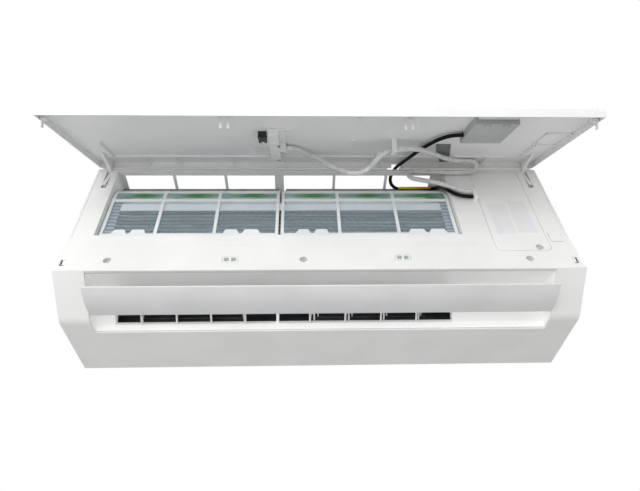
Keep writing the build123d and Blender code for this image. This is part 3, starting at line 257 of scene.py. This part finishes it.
def collaredTube():
    # copper tube that shows bare only outside the fins: inside them the fins' own collars cover
    # it, so the tone is their grey-blue where |x - coilMiddle| < coilHalf
    made, tree, skin, where = finish("collaredCopperTube", "#B5714B", 0.32, Metallic=1.0)
    across = addNode(tree, "SeparateXYZ", {"Vector": where})
    inside = addNode(tree, "Math", {0: across.outputs["X"], 1: coilMiddle}, operation="SUBTRACT")
    inside = addNode(tree, "Math", {0: inside.outputs[0]}, operation="ABSOLUTE")
    inside = addNode(tree, "Math", {0: inside.outputs[0], 1: coilHalf}, operation="LESS_THAN")
    mix = addNode(tree, "Mix", {0: inside.outputs[0], 6: linear("#B5714B"),
                                7: linear("#55676F")}, data_type="RGBA")
    tree.links.new(mix.outputs[2], skin.inputs["Base Color"])
    grain(tree, skin, where, size=2.0, height=0.03)
    return made


# painted shade and highlight: bands from dark to light painted across the fins' folds
paintedFoldShade = {"pitch": 8.5, "waveUnit": 20, "distortion": 2.6, "detailScale": 0.35}


def coatedFin(name, low, high, metal):
    # lacquered aluminium fin stock with painted shade and highlight: each fold of the corrugation
    # runs from the low colour (painted shade) to the high one (painted highlight) with a wavy edge;
    # the wave repeats every 2 pi / (waveUnit scale), here pitch mm
    made, tree, skin, where = finish(name, high, 0.38, Metallic=metal)
    scale = 2 * math.pi / (paintedFoldShade["waveUnit"] * paintedFoldShade["pitch"] * mm)
    folds = addNode(tree, "TexWave", {"Vector": where, "Scale": scale, "Detail": 2.0,
                                      "Distortion": paintedFoldShade["distortion"],
                                      "Detail Scale": paintedFoldShade["detailScale"]},
                    wave_type="BANDS", bands_direction="Z")
    ramp = addNode(tree, "ValToRGB", {"Fac": folds.outputs["Fac"]})
    ramp.color_ramp.elements[0].color = linear(low)
    ramp.color_ramp.elements[1].color = linear(high)
    tree.links.new(ramp.outputs[0], skin.inputs["Base Color"])
    grain(tree, skin, where, size=2.0, height=0.05)
    return made


def filterYarn():
    # woven polypropylene filter yarn: pale blue-grey with a soft sheen, and the green of its
    # upper band comes from the piece's own band attribute
    made, tree, skin, where = finish("wovenFilterYarn", "#D3DAD6", 0.5, IOR=1.49)
    band = addNode(tree, "Attribute", attribute_name="band")
    mix = addNode(tree, "Mix", {0: band.outputs["Fac"], 6: linear("#D2E6EF"),
                                7: linear("#55935F")}, data_type="RGBA")
    tree.links.new(mix.outputs[2], skin.inputs["Base Color"])
    grain(tree, skin, where, size=0.7, height=0.05, strength=0.4)
    return made


def cableJacket(name, low, high, rough, ridge, gloss=0.5):
    # extruded or braided jacket: almost even colour, fine ridges this many mm apart, soft sheen
    made, tree, skin, where = finish(name, high, rough, IOR=1.5, Specular_IOR_Level=gloss)
    tinted(tree, skin, where, size=12, low=low, high=high)
    grain(tree, skin, where, ridge, height=0.12, strength=0.4)
    return made


sleeveEnds = (0.178, 0.204)  # where the yellow starts to turn and where it is orange, x in metres


def shrinkSleeve():
    # heat-shrink tube: the tone runs from yellow to orange between two places along x
    made, tree, skin, where = finish("heatShrinkTube", "#D8CE1E", 0.45, IOR=1.5)
    across = addNode(tree, "SeparateXYZ", {"Vector": where})
    share = addNode(tree, "MapRange", {"Value": across.outputs["X"], "From Min": sleeveEnds[0],
                                       "From Max": sleeveEnds[1]})
    ramp = addNode(tree, "ValToRGB", {"Fac": share.outputs[0]})
    ramp.color_ramp.elements[0].color = linear("#D9D01C")
    ramp.color_ramp.elements[1].color = linear("#C98A2E")
    tree.links.new(ramp.outputs[0], skin.inputs["Base Color"])
    grain(tree, skin, where, size=3.0, height=0.3, strength=0.5)
    return made


def laminateBoard():
    # green solder mask on glass laminate, with a brick pattern a shade lighter for the tracks
    made, tree, skin, where = finish("solderMaskBoard", "#1F6B3A", 0.35, IOR=1.55)
    turned = addNode(tree, "Mapping", {"Vector": where, "Rotation": (0, math.pi / 2, 0)})
    tracks = addNode(tree, "TexBrick", {"Vector": turned.outputs[0], "Scale": perMetre(6),
                                        "Color1": linear("#1B5E33"), "Color2": linear("#24743F"),
                                        "Mortar": linear("#4C9A63"), "Mortar Size": 0.04})
    tree.links.new(tracks.outputs[0], skin.inputs["Base Color"])
    grain(tree, skin, where, size=1.0, height=0.05)
    return made


# plastics: name, low and high tone, roughness, edge in mm, glow (painted light). Metals: name, low
# and high tone, roughness, streak in mm, metallic. Jackets: name, low and high tone, roughness,
# ridge in mm, gloss. The fins' blue is their hydrophilic lacquer; their bands from dark to light
# are painted shade and highlight on the folds, and the flat baffle has the same painted bands, dull
finishes = {
    "casing": whiteAbs("mouldedAbsSatin", "#EAEAE9", "#EFEFEE", 0.38, 0.7),
    # the outlet's glow of 0.13 is painted light that lifts its shaded faces
    "outlet": whiteAbs("mouldedOutletWhitePaintedGlow", "#EDEDEC", "#F3F3F2", 0.4, 0.5, 0.13),
    "louver": whiteAbs("mouldedLouverSatin", "#DFDFDF", "#E6E6E6", 0.36, 0.4),
    "panel": whiteAbs("mouldedAbsInside", "#EDEDED", "#F2F2F1", 0.5, 0.8),
    "frames": whiteAbs("mouldedPolypropyleneWhite", "#E6EAEB", "#F2F4F4", 0.42, 0.35),
    "vane": whiteAbs("mouldedVaneWhite", "#E4E4E4", "#EFEFEF", 0.4, 0.3),
    "greyBox": whiteAbs("mouldedAbsPaleGrey", "#AFB0B1", "#BCBDBE", 0.45, 0.5),
    "chassis": darkPlastic("mouldedPolystyreneGrey", "#2A2D2F", "#3B3F42", 0.32),
    "fan": darkPlastic("glassFilledFanBlack", "#151617", "#222426", 0.5),
    "black": darkPlastic("mouldedNylonBlack", "#0E0E0F", "#1A1A1B", 0.4),
    "rubber": darkPlastic("mouldedRubberBlack", "#131313", "#1E1E1E", 0.75),
    "zinc": zincSheet(),
    "fins": coatedFin("lacqueredFinPaintedFoldShade", "#0E171B", "#F6FDFF", 0.3),
    # vent: dark grey that is painted shade, used on the pocket, the display's slots and the crest
    # rail
    "vent": darkPlastic("pocketGreyPaintedShade", "#6E7072", "#86888A", 0.6),
    "baffle": coatedFin("endBafflePaintedFoldShade", "#6F6E80", "#C6C8D6", 0.0),
    "foam": whiteAbs("closedCellFoamWhite", "#F7F9FC", "#FFFFFF", 0.7, 0.2),
    "label": whiteAbs("labelFilmWhite", "#E2E2E4", "#E9E9EA", 0.3, 0.05),
    "collared": collaredTube(),
    "copper": drawnMetal("drawnCopperTube", "#A5623F", "#C9835B", 0.3, 5),
    "brass": drawnMetal("machinedBrass", "#A8873E", "#CDAC60", 0.25, 1.5),
    "screw": drawnMetal("brightZincScrew", "#C6C9CA", "#EDEEEE", 0.35, 1.0, 0.5),
    "steel": drawnMetal("zincPlatedSteel", "#8C8F92", "#B9BCBE", 0.3, 1.0),
    "motorCan": drawnMetal("paintedMotorCan", "#B4B6B6", "#CACBCA", 0.45, 8, 0.6),
    "yarn": filterYarn(),
    "blackJacket": cableJacket("extrudedPvcBlack", "#050506", "#0C0D0E", 0.4, 3.0, 0.15),
    "whiteJacket": cableJacket("braidedSleeveWhite", "#CDCDCC", "#E2E2E0", 0.5, 2.2),
    "shrink": shrinkSleeve(),
    "board": laminateBoard(),
}

cadFinish = {
    "casing": ["front_frame", "control_cover", "power_button", "cable_grommet"],
    "outlet": ["outlet_housing"],
    "louver": ["louver"],
    "panel": ["front_panel", "hinge_arms", "display_housing", "cable_clips"],
    "frames": ["filter_frame_left", "filter_frame_right", "panel_catches", "coil_seals",
               "control_box"],
    "vane": [f"vane_{n}" for n in range(1, 9)],
    "greyBox": ["wifi_box", "wifi_box_cover"],
    "chassis": ["rear_chassis", "drain_pan", "bearing_holder", "vane_link_left",
                "vane_link_right"],
    "fan": ["cross_flow_fan"],
    "black": ["display_connector", "terminal_block", "button_switch", "louver_coupler"],
    "rubber": ["bearing_bush", "drain_plug"],
    "zinc": ["wall_plate", "motor_bracket", "evaporator_end_plates"],
    "fins": ["fin_pack_front", "fin_pack_top", "fin_pack_rear"],
    "collared": ["evaporator_tubes"],
    "copper": ["liquid_pipe", "gas_pipe", "coil_sensor"],
    "brass": ["flare_nuts"],
    "steel": ["fan_shaft"],
    "screw": ["frame_screws"],
    "motorCan": ["fan_motor", "louver_motor", "swing_motors"],
    "yarn": ["filter_mesh_left", "filter_mesh_right"],
    "blackJacket": ["wifi_cable"],
    "whiteJacket": ["display_cable", "display_lead"],
    "shrink": ["sensor_sleeve"],
    "board": ["control_board"],
}
for finishName, members in cadFinish.items():
    for member in members:
        data = nodes[member].data
        data.materials.clear()
        data.materials.append(finishes[finishName])
print("materials on", sum(len(m) for m in cadFinish.values()), "parts")


def newPiece(name, points, faces, finishName, body, smooth=True):
    # mesh object from points (n, 3) in metres and faces, riding on a body if one is given
    mesh = bpy.data.meshes.new(name)
    mesh.from_pydata(np.asarray(points).tolist(), [], [list(f) for f in faces])
    mesh.materials.append(finishes[finishName])
    mesh.polygons.foreach_set("use_smooth", np.full(len(mesh.polygons), smooth))
    mesh.update()
    piece = bpy.data.objects.new(name, mesh)
    scene.collection.objects.link(piece)
    if body:
        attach(piece, body)
    return piece


def gridFaces(rows, columns, closed=False):
    # quads of a grid of rows x columns points; closed joins the last column to the first
    r = np.arange(rows - 1)[:, None] * columns
    c = np.arange(columns if closed else columns - 1)[None, :]
    following = (c + 1) % columns
    return np.stack([r + c, r + following, r + columns + following, r + columns + c],
                    -1).reshape(-1, 4)


def barFaces(rings, count):
    # faces of count four-sided bars of that many rings each, with both ends closed
    last = 4 * (rings - 1)
    one = np.concatenate([gridFaces(rings, 4, closed=True), [[3, 2, 1, 0]],
                          [[last, last + 1, last + 2, last + 3]]])
    return (one[None] + 4 * rings * np.arange(count)[:, None, None]).reshape(-1, 4)


boxCorners = np.array([[x, y, z] for x in (0, 1) for y in (0, 1) for z in (0, 1)])
boxFaces = np.array([[0, 1, 3, 2], [4, 6, 7, 5], [0, 4, 5, 1], [2, 3, 7, 6], [0, 2, 6, 4],
                     [1, 5, 7, 3]])


def boxes(limits, where):
    # points and outward faces of boxes given as (x0, x1, y0, y1, z0, z1) rows in mm, each
    # corner = low + share * (high - low), carried into the row frame by where
    limits = np.asarray(limits, float)
    low, high = limits[:, None, 0::2], limits[:, None, 1::2]
    corners = low + boxCorners[None] * (high - low)
    points = where(corners[..., 0], corners[..., 1], corners[..., 2]).reshape(-1, 3)
    faces = (boxFaces[None] + 8 * np.arange(len(limits))[:, None, None]).reshape(-1, 4)
    a, b, c = (points[boxFaces[0][i]] for i in range(3))
    if np.dot(np.cross(b - a, c - a), a - points[:8].mean(0)) < 0:
        faces = faces[:, ::-1]
    return points, faces


def ribs(name, limits, where, finishName, body, edge=0.4):
    # one piece of boxes, with its edges rounded by that many mm
    points, faces = boxes(limits, where)
    piece = newPiece(name, points, faces, finishName, body, smooth=False)
    bevel = piece.modifiers.new("softEdges", "BEVEL")
    bevel.width, bevel.segments, bevel.limit_method = edge * mm, 2, "ANGLE"
    bevel.harden_normals = True
    return piece


def tubePoints(line, radius, sides):
    # rings of a tube along line (n, 3): ring = point + radius (cos t * side + sin t * lift).
    # The first side is square to any fixed direction, and it is carried from ring to ring so
    # that the tube doesn't twist
    ahead = np.gradient(line, axis=0)
    ahead /= np.linalg.norm(ahead, axis=1)[:, None]
    side = np.zeros_like(line)
    start = np.cross(ahead[0], (0.3, 0.2, 1.0))
    side[0] = start / np.linalg.norm(start)
    for i in range(1, len(line)):
        kept = side[i - 1] - ahead[i] * np.dot(side[i - 1], ahead[i])
        side[i] = kept / np.linalg.norm(kept)
    lift = np.cross(ahead, side)
    angle = np.linspace(0, 2 * np.pi, sides, endpoint=False)
    ring = (np.cos(angle)[None, :, None] * side[:, None] + np.sin(angle)[None, :, None]
            * lift[:, None])
    return (line[:, None] + ring * radius).reshape(-1, 3)


def tubeFaces(rings, sides):
    # walls and both end caps of such a tube, pointing outwards
    walls = gridFaces(rings, sides, closed=True).tolist()
    last = (rings - 1) * sides
    return walls + [list(range(sides))[::-1], [last + i for i in range(sides)]]


cableSides = 20
cables = {  # mm; turnFrom and turnTo are where the bend at the panel's hinge starts and ends
    "wifiCable": {
        "node": "wifi_cable", "diameter": 6.5, "length": 427, "finish": "blackJacket",
        "slot": "black_cable", "turnFrom": (140, 208, 304), "turnTo": (140, 187, 283),
        "route": [
            leaf(227, 21.4, -160), leaf(211, 21.4, -160), leaf(192, 21, -143),
            leaf(178, 20.5, -111), leaf(168, 20, -78), leaf(156, 18.5, -36),
            leaf(146.5, 17.5, -6), place(138.5, 188, 303.6), place(136, 177, 299.5),
            place(139.5, 166.5, 293.5), place(154, 160, 288.5), place(178, 158, 288),
            place(204, 159, 288.6), place(220.5, 164, 288), place(228.6, 178, 275.5),
            place(229.7, 193, 253.5), place(229.6, 204.6, 234), place(240, 207.2, 220.5),
            place(256, 206.5, 214), place(271, 206.5, 214)],
    },
    "displayCable": {
        "node": "display_cable", "diameter": 8.5, "length": 714, "finish": "whiteJacket",
        "slot": "white_sleeve", "turnFrom": (200, 228, 285), "turnTo": (200, 208.5, 285),
        "route": [
            leaf(-60, 20, -100), leaf(-46, 20, -100), leaf(-30, 19, -82),
            leaf(-2, 16, -56), place(25, 248, 240.5), place(49, 257, 215), place(67, 264.5, 206.5),
            place(84, 272.5, 214.5), leaf(99, 3.5, -110), leaf(113, 11, -116),
            leaf(128, 11.3, -119.5), leaf(146, 11.5, -123.5), leaf(167, 12, -117.5),
            leaf(192, 12.5, -97), leaf(217, 14.5, -69), leaf(242, 18.5, -41),
            place(267, 225.5, 293.7), place(291, 226.5, 293), place(291.5, 208, 285),
            place(268, 207.2, 282.3), place(230, 207, 282.5), place(192, 207.5, 285),
            place(163.5, 208, 283.5), place(164.5, 208.3, 264.5), place(187, 208.5, 257.5),
            place(213, 208.5, 250.5), place(236, 208, 240), place(253, 207.8, 225.5),
            place(271, 207.8, 225.5)],
    },
}
panelLead = {
    "diameter": 2.5, "length": 77,
    "route": [
        leaf(-96.5, 20.5, -135), leaf(-96.5, 20.5, -126), leaf(-103, 20.3, -112),
        leaf(-114, 20, -100), leaf(-113, 20, -88), leaf(-101, 20, -82), leaf(-88, 20, -82)],
}


def routeCurve(name, route, bevel=0.0):
    # open spline of order 3 with the route's points as its control points
    curve = bpy.data.curves.new(name, "CURVE")
    curve.dimensions = "3D"
    curve.resolution_u = 8
    curve.bevel_depth, curve.bevel_resolution, curve.use_fill_caps = bevel, 4, True
    spline = curve.splines.new("NURBS")
    spline.points.add(len(route) - 1)
    for point, spot in zip(spline.points, route):
        point.co = (*spot, 1.0)
    spline.order_u = 3
    spline.use_endpoint_u = True
    made = bpy.data.objects.new(name, curve)
    scene.collection.objects.link(made)
    return made


def cableTube(name, c):
    # mesh cable along its route's spline, from the panel past its hinge into the body
    guide = routeCurve(name + "Guide", c["route"])
    bpy.context.view_layer.update()
    mesh = bpy.data.meshes.new_from_object(guide.evaluated_get(
        bpy.context.evaluated_depsgraph_get()))
    line = np.zeros(len(mesh.vertices) * 3)
    mesh.vertices.foreach_get("co", line)
    line = line.reshape(-1, 3)
    bpy.data.objects.remove(guide)
    bpy.data.meshes.remove(mesh)
    points = tubePoints(line, c["diameter"] / 2 * mm, cableSides)
    piece = newPiece(name, points, tubeFaces(len(line), cableSides), c["finish"], None)
    tuple(place(*c["turnFrom"]))
    tuple(place(*c["turnTo"]))
    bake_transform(piece)
    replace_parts(piece, c["node"])


for cableName, cable in cables.items():
    cableTube(cableName, cable)


def addLead(c):
    # short lead beside the display, which stays on the panel
    lead = routeCurve("displayLead", c["route"], c["diameter"] / 2 * mm)
    lead.data.materials.append(finishes["whiteJacket"])
    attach(lead, "panel")
    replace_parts(lead, "display_lead")


addLead(panelLead)
print("cables laid")

fins = {"pitch": 1.7, "fold": 12.0, "sway": 0.81, "wander": 0.3, "waves": (17, 23), "sheet": 0.24,
        "across": (-351.2, 215.2), "ends": (-351.9, 215.9), "deep": (0.5, 25.5), "inset": 0.3}
slabs = {  # inner face's start (out, up), direction along, direction outwards, length in mm
    "front": ((158.0, 92.0), (0.0, 1.0), (1.0, 0.0), 116.0),
    "top": ((152.0, 212.0), (-0.582, 0.813), (0.813, 0.582), 68.0),
    "rear": ((104.0, 262.0), (-0.584, -0.812), (-0.812, 0.584), 101.0),
}


def finPack(name, slab, f):
    # upright fins across the whole coil, each folded to and fro: x = place + sway * (-1)^fold
    # + wander sin(along / wave 1 + place / wave 2), so every second fold turns from the eye
    start, run, out, length = slab
    steps = int(length // (f["fold"] / 2)) + 1
    along = np.linspace(f["inset"], length - f["inset"], steps)
    across = np.arange(*f["across"], f["pitch"])[:, None]
    half = f["sheet"] / 2
    middle = (across + f["sway"] * np.where(np.arange(steps) % 2, 1, -1)
              + f["wander"] * np.sin(along / f["waves"][0] + across / f["waves"][1]))
    low, high = f["deep"]
    x = np.clip(middle[..., None] + np.array([-half, half, half, -half]), *f["ends"])
    deep = np.array([low, low, high, high])
    points = place(x, start[0] + deep * out[0] + along[:, None] * run[0],
                   start[1] + deep * out[1] + along[:, None] * run[1]).reshape(-1, 3)
    piece = newPiece("fins" + name.title(), points, barFaces(steps, len(across)), "fins",
                     "housing", smooth=False)
    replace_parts(piece, "fin_pack_" + name)


for slabName, slab in slabs.items():
    finPack(slabName, slab, fins)

net = {  # mm, with end, step and band as angles round the bend in degrees
    "low": 139.5, "bend": (124.0, 226.0), "radius": 64.5, "end": 102.5, "step": 4.0, "bar": 5.0,
    "pitch": 1.5, "thread": 0.25, "cross": 0.08, "crossRings": 25,
    "band": (3.0, 20.0), "bandPitch": 0.5, "bandEdge": 2.0,
    "greenAt": 0.58, "greenWide": 0.36, "greenLeast": 0.25,  # shares of a pane, then of the green
    "sides": {"left": (-370.5, -73.5, (-279.0, -180.8)),  # both ends and the dividers
              "right": (-69.5, 232.5, (30.6, 131.4))},
}


def filterNet(name, side, n):
    # woven net as single threads on the filter's curve: straight up to the bend, then round it;
    # angle = (s - straight) / radius, out = bend + (radius + lift) cos, up = bend + ... sin.
    # Its upper band has more cross threads, and its green fades from the middle of each pane:
    # green = inside band * (least + (1 - least) exp(-((share - at) / wide)^2))
    x0, x1, stops = side
    straight = n["bend"][1] - n["low"]
    total = straight + n["radius"] * math.radians(n["end"])

    def curve(x, s, lift):
        angle = np.clip((s - straight) / n["radius"], 0, None)
        return place(x, n["bend"][0] + (n["radius"] + lift) * np.cos(angle),
                     n["bend"][1] + (n["radius"] + lift) * np.sin(angle)
                     - np.clip(straight - s, 0, None))

    r = n["thread"] / 2
    turn = np.array([0.0, 0.5, 1.0, 1.5]) * math.pi
    band = [straight + n["radius"] * math.radians(angle) for angle in n["band"]]
    s = np.concatenate([np.arange(0.3, total, n["pitch"]), np.arange(*band, n["bandPitch"])])
    xs = np.linspace(x0 + n["bar"], x1 - n["bar"], n["crossRings"])
    crossing = curve(xs[None, :, None], s[:, None, None] + r * np.cos(turn),
                     r * np.sin(turn) - n["cross"])
    steps = np.concatenate([[0.0, straight / 2], straight + n["radius"]
                            * np.radians(np.arange(0, n["end"], n["step"])), [total]])
    across = np.arange(x0 + n["bar"], x1 - n["bar"], n["pitch"])
    lengthwise = curve(across[:, None, None] + r * np.cos(turn), steps[None, :, None],
                       r * np.sin(turn) + n["cross"])
    points, faces, green, base = [], [], [], 0
    panes = [x0, *stops, x1]
    for threads, sAt, xAt in ((crossing, s[:, None], xs[None, :]),
                              (lengthwise, steps[None, :], across[:, None])):
        count, rings = threads.shape[:2]
        faces.append(barFaces(rings, count) + base)
        points.append(threads.reshape(-1, 3))
        base += threads.size // 3
        inBand = (np.clip((sAt - band[0]) / n["bandEdge"] + 0.5, 0, 1)
                  * np.clip((band[1] - sAt) / n["bandEdge"] + 0.5, 0, 1))
        spots = sum(np.exp(-(((xAt - a) / (b - a) - n["greenAt"]) / n["greenWide"]) ** 2)
                    for a, b in zip(panes, panes[1:]))
        green.append(np.repeat(
            (inBand * (n["greenLeast"] + (1 - n["greenLeast"]) * spots)).ravel(), 4))
    piece = newPiece("net" + name.title(), np.concatenate(points), np.concatenate(faces), "yarn",
                     "filter_" + name)
    layer = piece.data.attributes.new("band", "FLOAT", "POINT")
    layer.data.foreach_set("value", np.concatenate(green).astype(np.float32))
    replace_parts(piece, "filter_mesh_" + name)


for netName, netSide in net["sides"].items():
    filterNet(netName, netSide, net)
print("fins and nets made")

# flat lip behind the hinge line and the strip that joins it to the panel. It is 13.4 mm from the
# hinge axis and clears the casing's corner, at 13.1 mm, at every angle. Its gap lets the black
# cable through
lip = {"spans": ((-404, 129), (151, 404)),
       "plates": ((13.4, 14.4, -8, 6), (14.2, 16.4, -3.5, -1.2))}
ribs("hingeLip", [(x0, x1, *plate) for x0, x1 in lip["spans"] for plate in lip["plates"]],
     leaf, "panel", "panel", edge=0.3)

# small mouldings on the panel's inner face, which is 26.8 mm deep: boxes as x, deep, along in mm
panelRibs = [
    (307.2, 308.8, 23.2, 26.9, -40, -4),
    (-372, -369, 21.5, 26.9, -112, -42), (369, 372, 21.5, 26.9, -112, -42),
    (-400, 400, 25.4, 26.9, -236.6, -235.2), (230, 291, 21, 26.9, -226, -224.6),
    (101, 109, 19, 26.9, -62, -40), (96, 99, 20.5, 26.9, -40, -6), (111, 114, 20.5, 26.9, -40, -6),
    (118, 142, 24.6, 26.9, -236, -233.6), (126.6, 133.4, 21.8, 26.9, -222, -215.2),
    (50.6, 57.4, 24.6, 26.9, -199, -193), (50.6, 57.4, 24.6, 26.9, -124, -118),
    (365, 367, 23.8, 26.9, -158, -102), (406, 408, 21, 26.9, -158, -102),
    (365, 408, 23.8, 26.9, -104, -102), (365, 408, 23.8, 26.9, -158, -156),
    (-60, -46, 22.6, 26.9, -176, -174), (-92, -60, 24, 26.9, -57, -55),
]
ribs("panelMouldings", panelRibs, leaf, "panel", "panel")

gussets = {"xs": (-319.4, -262.4, -162.4, -63.4, 25.6, 308.6), "wide": 6.0, "high": 9.0,
           "foot": 26.9, "sides": (-8.4, -7.0)}


def panelGussets(g):
    # triangular feet beside each divider: corners (0, 0), (wide, 0), (0, high) above the foot
    points, faces = [], []
    for number, x in enumerate(g["xs"]):
        corners = [(x, g["foot"]), (x + g["wide"], g["foot"]), (x, g["foot"] - g["high"])]
        points += [leaf(cx, deep, along) for along in g["sides"] for cx, deep in corners]
        b = number * 6
        faces += [(b, b + 1, b + 2), (b + 5, b + 4, b + 3), (b, b + 3, b + 4, b + 1),
                  (b + 1, b + 4, b + 5, b + 2), (b + 2, b + 5, b + 3, b)]
    newPiece("panelGussets", np.array(points), faces, "panel", "panel",
             smooth=False)


panelGussets(gussets)

vent = {"slat": 25.7, "floor": 26.2, "skin": 26.75, "pitch": 4.0, "sheet": 1.2,
        "halves": (((198.0, 223.0, -104.0), (214.0, 238.0, -43.0)),
                   ((219.0, 241.0, -38.5), (229.0, 249.0, -8.0)))}


def ventPocket(v):
    # slanted pocket with slats, below and above the long rib, only 0.55 mm deep; its dark grey is
    # painted shade that stands in for a deep pocket. A half's two rows are the x of its left and
    # right edge and that place along; between them x changes evenly
    for number, half in enumerate(v["halves"]):
        xLeft, xRight, along = np.array(half).T
        starts = np.arange(*along, v["pitch"])
        edges = list(zip(np.interp(starts, along, xLeft), np.interp(starts, along, xRight), starts))
        rows = [(x0, x1, v["slat"], v["skin"], a, a + v["sheet"]) for x0, x1, a in edges]
        rows += [(x0, x1, v["floor"], v["skin"], a, a + v["pitch"]) for x0, x1, a in edges]
        ribs(f"ventSlats{number}", rows, leaf, "vent", "panel", edge=0.15)


ventPocket(vent)

# thin blank films on the control cover, as x, out, up in mm
labelFilms = [(293.7, 325.9, 200.7, 200.98, 126, 199), (330, 362, 200.7, 200.98, 128, 207)]
ribs("coverLabels", labelFilms, place, "label", "housing", edge=0.05)

# narrow display strip with its cable entry, in place of the plain housing, and dark patches on its
# face that are painted shade for its slots
displayBlocks = [(-87, -70, 16, 26.8, -172, -44), (-70.5, -60, 16.2, 26.8, -108, -92),
                 (-70.5, -60, 23.5, 26.8, -172, -64), (-85, -72, 15.4, 16.5, -52, -46)]
displaySlotShade = [(-73.5, -69.6, 15.8, 17, -124, -114), (-69, -62, 23, 23.7, -86, -76),
               (-79, -71.5, 15.2, 15.6, -51, -47)]
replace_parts(ribs("displayStrip", displayBlocks, leaf, "panel", "panel", edge=0.8),
            "display_housing")
ribs("displaySlotShadePatches", displaySlotShade, leaf, "vent", "panel", 0.15)
ringBoss = {"spot": (-80.0, -134.0), "around": 28,
            "profile": ((1.7, 16.2), (1.7, 14.9), (2.0, 14.6), (3.0, 14.6), (3.3, 14.9),
                        (3.3, 16.2))}


def addRing(b):
    # lathe: x = spot + r cos t, along = spot + r sin t for each (r, deep) of the profile
    t = np.linspace(0, 2 * np.pi, b["around"], endpoint=False)
    r, deep = np.array(b["profile"]).T
    points = leaf(b["spot"][0] + np.outer(r, np.cos(t)), deep[:, None],
                  b["spot"][1] + np.outer(r, np.sin(t))).reshape(-1, 3)
    newPiece("displayRing", points, gridFaces(len(r), b["around"], closed=True), "panel", "panel")


addRing(ringBoss)
print("panel details made")

# foam strip and end plates on the coil's face, and a dark rail behind the filters' crest that is
# painted shade for the shadow line there, all as x, out, up in mm
sealStrip = [(-351.5, 215.5, 184.15, 186.0, 201.5, 218.5)]
endPlates = [(-370.5, -351.0, 184.2, 185.6, 136, 221), (215.0, 231.0, 184.2, 185.6, 136, 221)]
crestShadowRail = [(-371.5, -78, 159.5, 161.0, 284.0, 290.5), (-64, 233, 159.5, 161.0, 284.0, 290.5)]
ribs("coilSealStrip", sealStrip, place, "foam", "housing", edge=0.3)
ribs("coilEndBaffles", endPlates, place, "baffle", "housing", 0.3)
ribs("crestRailPaintedShadow", crestShadowRail, place, "vent", "housing", edge=0.3)
crestBars = {"angles": (20.0, 26.0), "near": 65.2, "far": 66.35, "across": 5,
             "sides": {"left": (-365.5, -78.5), "right": (-64.5, 227.5)}}


def crestBar(name, ends, c):
    # ring sector round the filters' bend, swept along x: out = bend + r cos t, up = bend + r sin t
    count = c["across"]
    angle = np.radians(np.linspace(*c["angles"], count))
    radius = np.concatenate([np.full(count, c["near"]), np.full(count, c["far"])])
    angle = np.concatenate([angle, angle[::-1]])
    points = place(np.array(ends)[:, None], net["bend"][0] + radius * np.cos(angle),
                   net["bend"][1] + radius * np.sin(angle)).reshape(-1, 3)
    ring = 2 * count
    caps = [[i, i + 1, ring - 2 - i, ring - 1 - i] for i in range(count - 1)]
    faces = gridFaces(2, ring, closed=True).tolist() + caps
    faces += [[ring + corner for corner in cap[::-1]] for cap in caps]
    newPiece("crestBar" + name.title(), points, faces, "frames", "filter_" + name,
             smooth=False)


for barName, barEnds in crestBars["sides"].items():
    crestBar(barName, barEnds, crestBars)

floor = {"level": -1.25, "half": 6.0, "colour": "#E2E2E2", "glow": 0.25}  # metres


def addFloor(f):
    # pale floor far below the unit. It glows a little towards the camera and in reflections
    made, tree, skin, where = finish("floorPale", f["colour"], 0.9)
    path = addNode(tree, "LightPath")
    seen = addNode(tree, "Math", {0: path.outputs["Is Camera Ray"],
                                  1: path.outputs["Is Glossy Ray"]}, operation="MAXIMUM")
    glow = addNode(tree, "Math", {0: seen.outputs[0], 1: f["glow"]}, operation="MULTIPLY")
    skin.inputs["Emission Color"].default_value = linear("#FFFFFF")
    tree.links.new(glow.outputs[0], skin.inputs["Emission Strength"])
    grain(tree, skin, where, size=40, height=0.5, strength=0.1)
    h, level = f["half"], f["level"]
    mesh = bpy.data.meshes.new("floor")
    mesh.from_pydata([(-h, -h, level), (h, -h, level), (h, h, level), (-h, h, level)], [],
                     [(0, 1, 2, 3)])
    mesh.materials.append(made)
    ground = bpy.data.objects.new("floor", mesh)
    scene.collection.objects.link(ground)


addFloor(floor)

print("scene ready")
